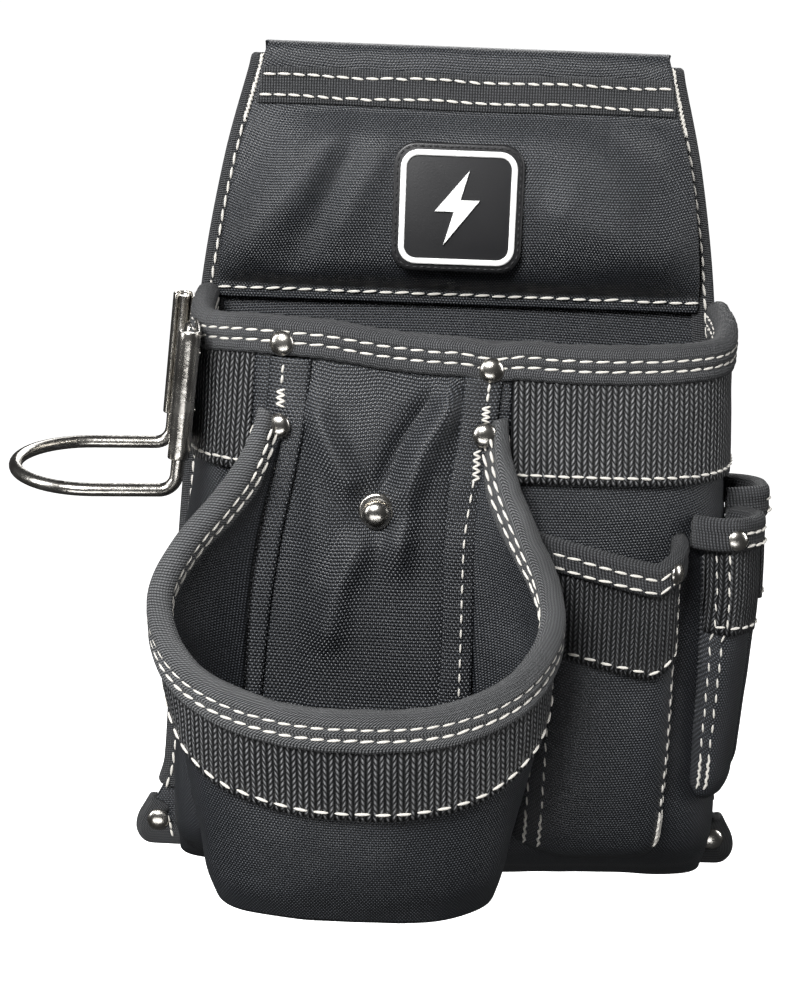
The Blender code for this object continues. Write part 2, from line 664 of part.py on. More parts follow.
def hammer_plate():
    """A sheet that follows a path in plan: one curl, the flat web with a dipped top, the other curl."""
    half = HAMMER_LEG_SPACING / 2.0
    dips = {-20.0: 0.0, -12.0: -7.0, 12.0: -7.0, 20.0: 0.0}
    curl = [math.radians(225.0 * (1.0 - i / 7.0)) for i in range(8)]
    path = [((math.cos(a), math.sin(a)), half, 0.0) for a in curl]
    path += [((1.0, 0.0), y, dip) for y, dip in sorted(dips.items(), reverse=True)]
    path += [((math.cos(a), -math.sin(a)), -half, 0.0) for a in reversed(curl)]
    sections = []
    for (nx, ny), y, dip in path:
        section = []
        for radius, z in ((0.0, -PLATE_HALF_HEIGHT), (PLATE_SHEET, -PLATE_HALF_HEIGHT),
                          (PLATE_SHEET, PLATE_HALF_HEIGHT + dip), (0.0, PLATE_HALF_HEIGHT + dip)):
            reach = CURL_RADIUS + radius
            section.append(on_holder(nx * reach, y + ny * reach, z))
        sections.append(section)
    loft("hammer_plate", sections, "nickel")


def hammer_loop():
    """The wire: up one leg, out round the loop and back down the other, as one bevelled curve."""
    half = HAMMER_LEG_SPACING / 2.0
    top = PLATE_HALF_HEIGHT - 1.0
    bend = [(-BEND_RADIUS + BEND_RADIUS * math.cos(a), -LEG_DROP + BEND_RADIUS - BEND_RADIUS * math.sin(a))
            for a in (math.radians(15.0 * i) for i in range(7))]
    leg = [(0.0, -half, top), (0.0, -half, 0.0), *[(x, -half, z) for x, z in bend]]
    straight = HAMMER_REACH - half
    nose = [(-straight - half * math.sin(a), -half * math.cos(a), -LEG_DROP)
            for a in (math.radians(15.0 * i) for i in range(13))]
    points = [*leg, *nose, *[(x, -y, z) for x, y, z in reversed(leg)]]
    curve = bpy.data.curves.new("hammer_loop", "CURVE")
    curve.dimensions = "3D"
    curve.bevel_depth = WIRE_RADIUS * MM
    curve.bevel_resolution = 2
    curve.use_fill_caps = True
    spline = curve.splines.new("POLY")
    spline.points.add(len(points) - 1)
    for point, place in zip(spline.points, points):
        point.co = (*((on_holder(*place) - ORIGIN) * MM), 1.0)
    curve.materials.append(material("nickel"))
    obj = bpy.data.objects.new("hammer_loop", curve)
    bpy.context.scene.collection.objects.link(obj)


# ---------------------------------------------------------------------------------------------
# Rivets: a domed cap and its post outside, and a washer round the post's end inside.

CAP_RISE = 2.2
WASHER_OUTSIDE = 4.0
WASHER_THICKNESS = 0.8
ROLLED_HEAD = 2.8
HOLE_RADIUS = POST_RADIUS + GAP
LINING_DROP = TAPE + GAP  # the binding's inner leg lies this far inside the wall


def rivet(name, seat, out, depth, joined, radius=RIVET_RADIUS, washer=True):
    """A rivet and the hole for it through the pieces it joins.

    seat is under its cap, and depth is from there to the face at its far end. With no washer, the
    post's own end is rolled over into a head.
    """
    post = POST_RADIUS
    cap = [(0.0, CAP_RISE), (radius * 0.5, CAP_RISE * 0.88), (radius * 0.86, CAP_RISE * 0.5),
           (radius, 0.3), (radius, 0.0), (post, 0.0)]
    low, high = -depth - GAP, -depth - GAP - WASHER_THICKNESS
    if washer:
        cap += [(post, high), (0.0, high)]
        bm = bmesh.new()
        ring = [(HOLE_RADIUS, low), (WASHER_OUTSIDE, low), (WASHER_OUTSIDE, high),
                (HOLE_RADIUS, high), (HOLE_RADIUS, low)]
        add_turned(bm, ring, seat, out, steps=12)
        add_object(f"{name}_washer", bm, "nickel")
    else:
        cap += [(post, low), (ROLLED_HEAD, low), (ROLLED_HEAD, high), (0.0, high)]
    bm = bmesh.new()
    add_turned(bm, cap, seat, out, steps=12)
    add_object(name, bm, "nickel")
    bm = bmesh.new()
    rod = [(0.0, GAP), (HOLE_RADIUS, GAP), (HOLE_RADIUS, -depth - GAP), (0.0, -depth - GAP)]
    add_turned(bm, rod, seat, out, steps=8)
    hole = add_object(f"{name}_hole", bm, "nickel")
    for node in joined:
        cut_away(bpy.data.objects[node], hole)


def wall_rivet(name, x, z, layer, joined, lining=0.0, radius=RIVET_RADIUS):
    """A rivet through the main pocket's front, whose cap lies on a layer's outer face."""
    t = main_angle(x, z)
    out = main_normal(t, z)
    rivet(name, main_curve(t, z) + out * (layer + GAP), out, layer + GAP + lining, joined, radius)


def rivets():
    behind = ["pouch_backing_panel", "main_pocket_wall"]
    for side, x in (("left", -61.0), ("right", 10.6)):
        wall_rivet(f"rim_rivet_{side}", x, RIM_HEIGHT - 2.4, LEG_OUTSIDE + TAPE,
                   ["main_rim_binding", *behind], LINING_DROP + 1.0)
    for side, x in (("left", -61.0), ("right", 8.6)):
        wall_rivet(f"pouch_corner_rivet_{side}", x, 188.6, STRIP[1], [f"pouch_seam_strip_{side}", *behind])

    t, z = main_angle(-27.2, 156.0), 156.0
    out = main_normal(t, z)
    bm = bmesh.new()
    ring = [(HOLE_RADIUS, 0.0), (6.3, 0.0), (6.3, 0.6), (5.4, 1.0), (HOLE_RADIUS, 1.0), (HOLE_RADIUS, 0.0)]
    add_turned(bm, ring, main_curve(t, z) + out * (PATCH[1] + GAP), out, steps=16)
    add_object("centre_rivet_seat", bm, "nickel")
    wall_rivet("centre_rivet", -27.2, 156.0, PATCH[1] + GAP + 1.0, behind, radius=4.8)

    for side, x in (("left", -110.4), ("right", 110.4)):
        rivet(f"base_corner_rivet_{side}", Vector((x, TAPE_FRONT[0] - GAP, 10.3)), Vector((0, -1, 0)),
              TAPE_REAR[1] - TAPE_FRONT[0] + GAP,
              ["back_panel_front_skin", "back_panel_rear_skin", "edge_tape_foot"], washer=False)

    out = HAMMER_TURN @ Vector((-1.0, 0.0, 0.0))
    for place, (y, z) in HAMMER_RIVETS.items():
        seat = on_holder(CURL_RADIUS - GAP, y, z)
        depth = 0.0
        while depth < 40.0 and not inside_pocket(seat - out * depth):
            depth += 0.2
        joined = ["hammer_plate", "main_band_left", "main_pocket_wall"]
        if place.startswith("upper"):
            joined.append("main_rim_binding")
        depth += LINING_DROP + (1.0 if y > 0.0 else 5.2)  # the front pair goes through a slanting wall
        rivet(f"hammer_rivet_{place}", seat, out, depth, joined, radius=3.9)

    for name, share in (("front_tool_pocket", 0.86), ("side_tool_pocket", 0.16)):
        seat, out, depth = TOOL_SEATS[name](share)
        joined = [f"{name}_{part}" for part in ("wall", "band", "edge_tape")]
        rivet(f"{name}_rivet", seat, out, depth, [*joined, "main_pocket_wall"], 3.9, washer=False)


def inside_pocket(point):
    """Whether a point is within the main pocket's cloth, seen from outside."""
    z = point.z
    depth = WALL_BACK - between(MAIN_FRONT, z)
    across = abs(point.x - MAIN_MIDDLE) / between(MAIN_HALF_WIDTH, z)
    along = max(0.0, WALL_BACK - point.y) / depth
    return across ** MAIN_SQUARENESS + along ** MAIN_SQUARENESS < 1.0


# ---------------------------------------------------------------------------------------------

clear_scene()
back_panel()
edge_tapes()
tunnel_panel()
badge()
main_pocket()
seam_strips()
scooped_pouch()
tool_pockets()
hammer_plate()
hammer_loop()
rivets()
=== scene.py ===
"""An electrician's belt pouch in black ballistic nylon, with its webbing, bindings, stitching, rivets
and steel hammer loop, built piece by piece in the order in which it is sewn and riveted together.

Shapes are worked in millimetres from the middle of the back panel's foot: x to the right, y to the
rear, z up. Cloth carries its own measure in millimetres as its UV map, so a weave follows the cut.
"""

import bisect
import math

import bmesh
import bpy
from mathutils import Matrix, Vector, noise


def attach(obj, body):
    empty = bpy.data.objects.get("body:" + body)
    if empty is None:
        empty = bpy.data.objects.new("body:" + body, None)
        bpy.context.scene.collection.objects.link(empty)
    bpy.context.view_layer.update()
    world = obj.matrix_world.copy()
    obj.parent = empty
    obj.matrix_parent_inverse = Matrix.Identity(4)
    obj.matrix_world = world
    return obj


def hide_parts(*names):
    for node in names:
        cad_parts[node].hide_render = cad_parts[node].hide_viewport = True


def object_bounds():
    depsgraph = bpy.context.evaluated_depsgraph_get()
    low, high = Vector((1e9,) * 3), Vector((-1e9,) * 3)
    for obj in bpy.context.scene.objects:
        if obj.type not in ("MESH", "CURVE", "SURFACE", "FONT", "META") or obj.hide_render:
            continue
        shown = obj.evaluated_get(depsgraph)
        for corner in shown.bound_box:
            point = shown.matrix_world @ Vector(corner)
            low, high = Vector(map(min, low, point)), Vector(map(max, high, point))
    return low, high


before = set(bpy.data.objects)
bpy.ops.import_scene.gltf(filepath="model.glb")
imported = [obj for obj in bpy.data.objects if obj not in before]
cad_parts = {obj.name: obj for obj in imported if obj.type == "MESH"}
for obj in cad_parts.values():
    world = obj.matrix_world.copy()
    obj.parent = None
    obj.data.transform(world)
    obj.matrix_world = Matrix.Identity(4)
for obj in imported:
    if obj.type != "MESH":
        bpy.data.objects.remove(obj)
cad_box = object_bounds()

# -------------------------------------------------------------------------------------------------
# The back panel's front skin: one flat cut of ballistic nylon, wider at its foot, where two rounded
# ears stand out at the corners. It shows inside the main pocket and beside it.

MM = 0.001
FOOT = Vector((0.0, 31.0, 259.0))  # from the belt tunnel's middle down and forward to the foot's middle


class Finish:
    """A material that is put together node by node."""

    def __init__(self, name, colour, roughness, metallic=0.0):
        self.material = bpy.data.materials.new(name)
        self.material.use_nodes = True
        self.tree = self.material.node_tree
        self.shader = self.tree.nodes["Principled BSDF"]
        self.set(Base_Color=(*colour, 1.0), Roughness=roughness, Metallic=metallic)

    def set(self, **sockets):
        for name, value in sockets.items():
            self.put(self.shader.inputs[name.replace("_", " ")], value)

    def put(self, socket, value):
        if isinstance(value, bpy.types.NodeSocket):
            self.tree.links.new(value, socket)
        else:
            socket.default_value = value

    def add(self, kind, *inputs, **settings):
        node = self.tree.nodes.new("ShaderNode" + kind)
        for name, value in settings.items():
            setattr(node, name, value)
        for socket, value in zip(node.inputs, inputs):
            if value is not None:
                self.put(socket, value)
        return node.outputs[0]

    def math(self, operation, *values):
        return self.add("Math", *values, operation=operation)

    def measure(self):
        """The cloth's own measure, across and up it, in millimetres."""
        split = self.tree.nodes.new("ShaderNodeSeparateXYZ")
        self.put(split.inputs[0], self.tree.nodes.new("ShaderNodeUVMap").outputs[0])
        return split.outputs[0], split.outputs[1]

    def lobe(self, value):
        """A rounded yarn: 0 at each whole number and 1 midway between two."""
        return self.math("ABSOLUTE", self.math("SINE", self.math("MULTIPLY", value, math.pi)))

    def mottle(self, scale, detail=2.0):
        """Soft patches in the piece's own space."""
        place = self.tree.nodes.new("ShaderNodeTexCoord").outputs["Object"]
        node = self.tree.nodes.new("ShaderNodeTexNoise")
        self.put(node.inputs["Vector"], place)
        node.inputs["Scale"].default_value = scale
        node.inputs["Detail"].default_value = detail
        return node.outputs[0]

    def blend(self, share, low, high):
        node = self.tree.nodes.new("ShaderNodeMix")
        node.data_type = "RGBA"
        for index, value in ((0, share), (6, (*low, 1.0)), (7, (*high, 1.0))):
            self.put(node.inputs[index], value)
        return node.outputs[2]

    def relief(self, height, depth):
        """Raises the surface by a height from 0 to 1, to a depth in millimetres."""
        node = self.tree.nodes.new("ShaderNodeBump")
        node.inputs["Strength"].default_value = 1.0
        node.inputs["Distance"].default_value = depth * MM
        self.put(node.inputs["Height"], height)
        self.put(self.shader.inputs["Normal"], node.outputs[0])


def ballistic_nylon(name, low, high, roughness=0.42, across=0.58, up=1.0, depth=0.30):
    """Plain weave in thick yarn: each weft float shows as a short bright bead, laid like bricks. Its colour is
    painted light: a painted highlight on each bead and painted shade in the gaps between the yarns.
    """
    cloth = Finish(name, high, roughness)
    x, y = cloth.measure()
    x, y = cloth.math("DIVIDE", x, across), cloth.math("DIVIDE", y, up)
    weft = cloth.math("PINGPONG", cloth.math("ADD", cloth.math("FLOOR", x), cloth.math("FLOOR", y)), 1.0)
    over, along = cloth.lobe(y), cloth.lobe(x)
    bead = cloth.math("MULTIPLY", over, cloth.math("MULTIPLY_ADD", along, 0.55, 0.45))
    warp = cloth.math("MULTIPLY", cloth.math("MULTIPLY", over, 0.55),
                      cloth.math("MULTIPLY_ADD", along, 0.3, 0.3))
    height = cloth.math("MULTIPLY_ADD", cloth.math("SUBTRACT", bead, warp), weft, warp)
    patches = cloth.math("MULTIPLY_ADD", cloth.mottle(38.0), 0.7, 0.62)
    # The colour share is painted light: the weft beads get a painted highlight and the gaps between yarns
    # painted shade, under soft random patches.
    share = cloth.math("MULTIPLY", cloth.math("POWER", height, 2.1), patches)
    cloth.set(Base_Color=cloth.blend(share, low, high), Specular_IOR_Level=0.45)
    cloth.relief(height, depth)
    return cloth.material


# Low is the painted shade between the yarns and high the painted highlight on the beads.
NYLON = ballistic_nylon("ballistic_nylon", (0.0025, 0.003, 0.004), (0.088, 0.095, 0.108))


def through(table):
    """A smooth curve through a table's points, level beyond its ends."""
    keys, values = sorted(table), [table[key] for key in sorted(table)]
    steps = [(b - a) / (q - p) for p, q, a, b in zip(keys, keys[1:], values, values[1:])]
    slopes = [0.0 if a * b <= 0.0 else 2.0 * a * b / (a + b) for a, b in zip(steps, steps[1:])]
    slopes = [steps[0], *slopes, steps[-1]]

    def at(x):
        if x <= keys[0]:
            return values[0]
        if x >= keys[-1]:
            return values[-1]
        i = bisect.bisect_right(keys, x) - 1
        span = keys[i + 1] - keys[i]
        s = (x - keys[i]) / span
        r = 1.0 - s
        return (values[i] * r * r * (1.0 + 2.0 * s) + values[i + 1] * s * s * (3.0 - 2.0 * s)
                + slopes[i] * span * s * r * r - slopes[i + 1] * span * s * s * r)

    return at


def rough_cloth(point, reach, depth):
    """A soft unevenness, as a distance, that changes over a reach in millimetres."""
    return depth * noise.noise(point / reach)


def add_piece(name, bm, finish, slot, *nodes):
    """Makes a finished piece of a bmesh in millimetres, which stands for the nodes of the frame."""
    bmesh.ops.translate(bm, vec=-FOOT, verts=bm.verts)
    bmesh.ops.scale(bm, vec=(MM, MM, MM), verts=bm.verts)
    mesh = bpy.data.meshes.new(name)
    bm.to_mesh(mesh)
    bm.free()
    mesh.shade_smooth()
    mesh.materials.append(finish)
    piece = bpy.data.objects.new(name, mesh)
    bpy.context.scene.collection.objects.link(piece)
    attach(piece, "root")
    if nodes:
        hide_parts(*nodes)
    return piece


def add_cut(bm, across, up, place, middle=0.5, closed=False):
    """Adds a grid of cloth and lays it in place(u, v), with its measure from a middle line as its UV."""
    uv = bm.loops.layers.uv.verify()
    old = set(bm.verts)
    bmesh.ops.create_grid(bm, x_segments=across, y_segments=up, size=1.0)
    fresh = [v for v in bm.verts if v not in old]
    spots = {v: (round((v.co.x + 1.0) / 2.0 * across), round((v.co.y + 1.0) / 2.0 * up)) for v in fresh}
    where = {spot: place(spot[0] / across, spot[1] / up) for spot in spots.values()}
    start = round(middle * across)
    flat = {}
    for j in range(up + 1):
        reach = 0.0
        for i in range(start, across + 1):
            reach += (where[i, j] - where[i - 1, j]).length if i > start else 0.0
            flat[i, j] = reach
        reach = 0.0
        for i in range(start - 1, -1, -1):
            reach -= (where[i, j] - where[i + 1, j]).length
            flat[i, j] = reach
    for i in range(across + 1):
        rise = 0.0
        for j in range(up + 1):
            rise += (where[i, j] - where[i, j - 1]).length if j else 0.0
            flat[i, j] = (flat[i, j], rise)
    for v in fresh:
        v.co = where[spots[v]]
        for loop in v.link_loops:
            loop[uv].uv = flat[spots[v]]
    if closed:
        bmesh.ops.remove_doubles(bm, verts=fresh, dist=0.0005)
    return fresh


def thicken(piece, thickness, smooth=1):
    """Gives a cut of cloth its thickness, half to each side, and softens its edges."""
    solid = piece.modifiers.new("thickness", "SOLIDIFY")
    solid.thickness = thickness * MM
    solid.offset = 0.0
    if smooth:
        soft = piece.modifiers.new("soft", "SUBSURF")
        soft.levels = soft.render_levels = smooth
        soft.boundary_smooth = "ALL"
    return piece


def cloth(name, across, up, place, thickness, finish, slot, *nodes, middle=0.5):
    bm = bmesh.new()
    add_cut(bm, across, up, place, middle)
    return thicken(add_piece(name, bm, finish, slot, *nodes), thickness)


PANEL_HALF = through({1.5: 114.0, 4.0: 116.8, 8.0: 117.0, 13.0: 114.6, 18.5: 111.6, 26.0: 108.2, 34.0: 106.0,
              70.0: 104.4, 130.0: 101.4, 190.0: 97.4, 227.0: 93.9, 272.0: 86.4, 309.0: 76.9})
PANEL_HEIGHT = 309.0
FRONT_SKIN_Y, REAR_SKIN_Y = 39.2, 43.2


def panel_front(u, v):
    z = 1.5 + v * (PANEL_HEIGHT - 1.5)
    x = (2.0 * u - 1.0) * PANEL_HALF(z)
    return Vector((x, FRONT_SKIN_Y, z))


cloth("back_panel_front", 40, 90, panel_front, 1.3, NYLON, "nylon", "back_panel_front_skin")

# -------------------------------------------------------------------------------------------------
# The stiffener is a plain board of black polyethylene, held between the two skins.

BOARD = Finish("polyethylene_board", (0.012, 0.012, 0.014), 0.45)
BOARD.relief(BOARD.mottle(900.0), 0.05)
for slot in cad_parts["back_stiffener"].material_slots:
    slot.material = BOARD.material

# -------------------------------------------------------------------------------------------------
# The rear skin lies against the wearer: ballistic nylon over a thin pad, sewn flat round its border.


def panel_rear(u, v):
    z = 1.5 + v * (PANEL_HEIGHT - 1.5)
    half = PANEL_HALF(z)
    x = (2.0 * u - 1.0) * half
    inside = min(1.0, max(0.0, (half - abs(x) - 13.0) / 7.0, 0.0))
    inside *= min(1.0, max(0.0, (z - 15.0) / 7.0)) * min(1.0, max(0.0, (277.0 - z) / 7.0))
    puff = 3.7 * inside * inside * (3.0 - 2.0 * inside)
    return Vector((-x, REAR_SKIN_Y + puff, z))


rear_skin = cloth("back_panel_rear", 60, 90, panel_rear, 1.3, NYLON, "nylon", "back_panel_rear_skin")

# -------------------------------------------------------------------------------------------------
# Edge tape: ribbed polyester tape, folded over the back panel's edges and sewn through with a thick
# off-white bonded thread, up both sides and along the foot round the two ears.


def ribbed_tape(name, low, high, pitch=0.92, slant=0.45):
    """Fine slanting ribs, crossed by the binding yarns. Their colour is painted light: a painted highlight on
    the rib tops and painted shade in the gaps between them.
    """
    tape = Finish(name, high, 0.62)
    along, around = tape.measure()
    rib = tape.lobe(tape.math("DIVIDE", tape.math("MULTIPLY_ADD", around, slant, along), pitch))
    cross = tape.lobe(tape.math("DIVIDE", around, 1.05))
    height = tape.math("MULTIPLY", rib, tape.math("MULTIPLY_ADD", cross, 0.5, 0.5))
    # The colour share is painted light: rib tops get a painted highlight and the gaps between ribs painted
    # shade, under soft random patches.
    share = tape.math("MULTIPLY", tape.math("POWER", height, 1.3), tape.math(
        "MULTIPLY_ADD", tape.mottle(45.0), 0.7, 0.62))
    tape.set(Base_Color=tape.blend(share, low, high), Sheen_Weight=0.05, Sheen_Roughness=0.45,
             Specular_IOR_Level=0.25)
    tape.relief(height, 0.5)
    return tape.material


# Low is the painted shade between the ribs and high the painted highlight on them.
TAPE = ribbed_tape("ribbed_tape", (0.005, 0.0055, 0.006), (0.070, 0.072, 0.076), pitch=0.85)

THREAD = Finish("bonded_thread", (0.80, 0.79, 0.75), 0.6)
# The twist's ply tops get a painted highlight and its grooves painted shade, blended over the thread's
# off-white.
twist = THREAD.lobe(THREAD.math("MULTIPLY_ADD", THREAD.measure()[0], 3.0, THREAD.math(
    "MULTIPLY", THREAD.measure()[1], 4.0)))
THREAD.set(Base_Color=THREAD.blend(twist, (0.52, 0.50, 0.46), (0.84, 0.83, 0.80)), Sheen_Weight=0.2)
THREAD.relief(twist, 0.12)
THREAD = THREAD.material


STITCH = bmesh.new()
bmesh.ops.create_uvsphere(STITCH, u_segments=8, v_segments=6, radius=1.0, calc_uvs=True,
                          matrix=Matrix.Rotation(math.pi / 2.0, 4, "Y"))
STITCH_MESH = bpy.data.meshes.new("stitch")


def add_stitch(bm, place, along, out, length, width=1.05, height=0.66, lean=0.0):
    """Adds one stitch: a plump float of thread whose ends dip into the cloth."""
    across = out.cross(along).normalized()
    along = across.cross(out).normalized()
    axes = Matrix((along * length / 2.0, across * width / 2.0, out * height)).transposed()
    matrix = (Matrix.Rotation(lean, 3, out) @ axes).to_4x4()
    matrix.translation = place
    one = STITCH.copy()
    one.transform(matrix)
    one.to_mesh(STITCH_MESH)
    one.free()
    bm.from_mesh(STITCH_MESH)


def add_seam(bm, line, pitch, lean=0.10, share=0.86, width=1.1, wander=0.15):
    """Adds a row of stitches along a line of (place, outward direction)."""
    lengths = [0.0]
    for (a, _), (b, _) in zip(line, line[1:]):
        lengths.append(lengths[-1] + (b - a).length)
    count = max(1, round(lengths[-1] / pitch))
    step, k = lengths[-1] / count, 0
    for n in range(count):
        reach = (n + 0.5) * step
        while k < len(lengths) - 2 and lengths[k + 1] < reach:
            k += 1
        (a, out_a), (b, out_b) = line[k], line[k + 1]
        s = (reach - lengths[k]) / max(lengths[k + 1] - lengths[k], 1e-6)
        place, out = a.lerp(b, s), out_a.lerp(out_b, s).normalized()
        sway = noise.noise(place * 0.9 + Vector((n * 0.37, 0.0, 0.0)))
        side = out.cross(b - a).normalized() * sway * wander * 2.0
        add_stitch(bm, place + side, b - a, out, step * share * (1.0 + 0.12 * sway), width, 0.6,
                   lean + 0.12 * sway)


def seam_piece(name, bm):
    return add_piece(name, bm, THREAD, None)


def contour(points):
    """A closed run through (outward, up) points, as a function of a share of its length."""
    loop = [*points, points[0]]
    reach = [0.0]
    for a, b in zip(loop, loop[1:]):
        reach.append(reach[-1] + math.dist(a, b))

    def at(share):
        want = (share % 1.0) * reach[-1]
        k = max(n for n in range(len(points)) if reach[n] <= want + 1e-9)
        s = (want - reach[k]) / (reach[k + 1] - reach[k])
        return (loop[k][0] + s * (loop[k + 1][0] - loop[k][0]), loop[k][1] + s * (loop[k + 1][1] - loop[k][1]))

    return at


def close_ends(bm):
    """Fills the open ends of a tube and turns its faces outwards."""
    bmesh.ops.holes_fill(bm, edges=[e for e in bm.edges if e.is_boundary], sides=0)
    bmesh.ops.recalc_face_normals(bm, faces=bm.faces)


def swept(name, stations, around, line, shape, finish, slot, *nodes, smooth=1):
    """Sweeps a closed contour along line(u), which gives a place, its outward and its up directions."""
    bm = bmesh.new()

    def place(u, v):
        spot, out, up = line(u)
        a, c = shape(v)
        return spot + out * a + up * c

    add_cut(bm, stations, around, place, middle=0.0, closed=True)
    close_ends(bm)
    piece = add_piece(name, bm, finish, slot, *nodes)
    if smooth:
        soft = piece.modifiers.new("soft", "SUBSURF")
        soft.levels = soft.render_levels = smooth
    return piece


def run_along(points):
    """A function of u that runs evenly along points of (x, z), giving the place there."""
    reach = [0.0]
    for a, b in zip(points, points[1:]):
        reach.append(reach[-1] + math.dist(a, b))

    def at(u):
        want = u * reach[-1]
        k = min(max(n for n, r in enumerate(reach) if r <= want + 1e-9), len(points) - 2)
        s = (want - reach[k]) / (reach[k + 1] - reach[k])
        (x0, z0), (x1, z1) = points[k], points[k + 1]
        return Vector((x0 + s * (x1 - x0), 0.0, z0 + s * (z1 - z0)))

    return at


# In (outward, y) from the skins' edge: the fold's outside from front to rear, and back along its inside.
TAPE_FOLD = contour([(-7.0, 38.1), (-7.0, 37.3), (-5.0, 36.9), (-2.2, 36.5), (-1.2, 36.8), (0.4, 36.5),
                     (2.0, 37.6), (2.8, 40.0), (2.8, 42.8), (2.0, 45.0), (0.2, 45.9), (-3.0, 45.7),
                     (-9.0, 45.4), (-9.0, 44.3), (-1.0, 44.2), (0.3, 43.0), (0.3, 39.4), (-1.0, 38.2)])


def panel_edge(side):
    """Up one side edge of the panel, from just above the ear."""
    heights = [24.0 + (311.0 - 24.0) * n / 60.0 for n in range(61)]
    return run_along([(side * PANEL_HALF(z), z) for z in heights])


def folded_tape(name, edge, inward, node, stations):
    def line(u):
        place = edge(u)
        ahead, behind = edge(min(1.0, u + 0.004)), edge(max(0.0, u - 0.004))
        run = (ahead - behind).normalized()
        out = Vector((run.z, 0.0, -run.x))
        if out.dot(place - inward(place)) < 0.0:
            out = -out
        return place, out, Vector((0.0, 1.0, 0.0))

    swept(name, stations, 30, line, TAPE_FOLD, TAPE, "edge_tape", node)
    return line


for side, sign in (("left", -1.0), ("right", 1.0)):
    line = folded_tape(f"side_tape_{side}", panel_edge(sign), lambda p: Vector((0.0, 0.0, p.z)),
                       f"edge_tape_{side}", 90)
    bm = bmesh.new()
    row = [line(n / 120.0) for n in range(121)]
    add_seam(bm, [(p - o * 1.4 + Vector((0, 36.45, 0)), Vector((0, -1, 0))) for p, o, _ in row], 5.4)
    add_seam(bm, [(p - o * 1.4 + Vector((0, 45.95, 0)), Vector((0, 1, 0))) for p, o, _ in row], 5.4)
    for y, face in ((36.3, -1.0), (46.1, 1.0)):
        for n in range(30):
            p, o, _ = line(0.995 - 0.0028 * n)
            lean = Vector((0.0, 0.0, 1.0)) + o * (0.55 if n % 2 else -0.55)
            add_stitch(bm, p - o * 1.6 + Vector((0.0, y, 0.0)), lean, Vector((0.0, face, 0.0)), 2.6, 0.8, 0.6)
    seam_piece(f"side_tape_stitches_{side}", bm)

foot_heights = [(PANEL_HALF(z), z) for z in (19.0, 16.0, 13.0, 10.0, 7.5, 5.2, 3.6, 2.4, 1.7)]
foot_points = [(-x, z) for x, z in foot_heights] + [(x * 10.0, 1.5) for x in range(-10, 11)]
foot_points += list(reversed(foot_heights))
foot_line = folded_tape("foot_tape", run_along(foot_points),
                        lambda p: Vector((math.copysign(98.0, p.x) if abs(p.x) > 98.0 else p.x, 0.0, 15.0)),
                        "edge_tape_foot", 120)
bm = bmesh.new()
for sign in (-1.0, 1.0):
    row = [Vector((sign * (104.5 + 2.0 * n / 6.0), 36.7, 3.5 + 9.5 * n / 6.0 - 0.5)) for n in range(7)]
    add_seam(bm, [(p, Vector((0, -1, 0))) for p in row], 3.2, share=0.95)
row = [foot_line(n / 200.0) for n in range(201)]
add_seam(bm, [(p - o * 4.4 + Vector((0, 45.55, 0)), Vector((0, 1, 0))) for p, o, _ in row], 5.0)
seam_piece("foot_tape_stitches", bm)

# -------------------------------------------------------------------------------------------------
# Belt tunnel: a nylon panel that starts on the rear, folds over the top, bows out so that a belt
# passes behind it, and is sewn down at its lower hem. Both ends of the bow stay open.

TUNNEL_PATH = [(35.6, 220.6), (35.3, 223.4), (34.6, 226.2), (31.4, 228.6), (27.4, 232.4), (24.8, 238.0),
               (23.7, 246.0), (23.3, 256.0), (23.6, 266.0), (25.0, 275.0), (28.0, 282.4), (31.8, 287.6),
               (34.6, 291.0), (35.4, 294.0), (35.5, 300.0), (35.6, 306.5), (36.3, 311.0), (38.6, 314.0),
               (41.6, 314.7), (44.8, 313.6), (46.2, 310.5), (46.5, 304.0), (46.5, 294.0), (46.4, 285.0)]
TUNNEL_HALF = through({220.0: 90.4, 226.0: 90.2, 245.0: 88.6, 265.0: 85.6, 284.0: 81.2, 293.0: 78.6,
                       307.0: 75.6, 315.0: 73.6})


def path_point(path, v):
    reach = [0.0]
    for a, b in zip(path, path[1:]):
        reach.append(reach[-1] + math.dist(a, b))
    want = v * reach[-1]
    return (through({r: a for r, (a, _) in zip(reach, path)})(want),
            through({r: b for r, (_, b) in zip(reach, path)})(want))


TUNNEL_STEPS = 84
TUNNEL_RUN = [path_point(TUNNEL_PATH, n / TUNNEL_STEPS) for n in range(TUNNEL_STEPS + 1)]


def ridge(x, z, path, width, height):
    """A soft fold that follows a bent path and dies away at both its ends."""
    best = 0.0
    for n, ((x0, z0), (x1, z1)) in enumerate(zip(path, path[1:])):
        dx, dz = x1 - x0, z1 - z0
        s = min(1.0, max(0.0, ((x - x0) * dx + (z - z0) * dz) / (dx * dx + dz * dz)))
        away = math.hypot(x - x0 - s * dx, z - z0 - s * dz)
        along = (n + s) / (len(path) - 1)
        fade = min(1.0, 5.0 * along + 0.3, 5.0 * (1.0 - along) + 0.1)
        best = max(best, math.exp(-(away / width) ** 2) * fade)
    return best * height


def tunnel_folds(x, z):
    """The slack of the bowed panel, in broad folds that run down from its top corners to its sides."""
    folds = ridge(x, z, [(-40.0, 292.0), (-66.0, 258.0), (-90.0, 232.0)], 8.5, 3.0)
    folds -= ridge(x, z, [(-70.0, 288.0), (-84.0, 262.0), (-92.0, 246.0)], 6.0, 1.6)
    folds -= ridge(x, z, [(-40.0, 284.0), (-54.0, 252.0), (-66.0, 230.0)], 6.5, 2.0)
    folds += ridge(x, z, [(-24.0, 290.0), (-40.0, 262.0), (-48.0, 240.0)], 6.0, 1.2)
    folds += ridge(x, z, [(28.0, 262.0), (60.0, 247.0), (86.0, 240.0)], 10.0, 2.6)
    folds -= ridge(x, z, [(48.0, 292.0), (66.0, 276.0), (82.0, 258.0)], 8.0, 2.0)
    folds -= ridge(x, z, [(24.0, 238.0), (50.0, 232.0), (78.0, 230.0)], 6.0, 1.0)
    return folds


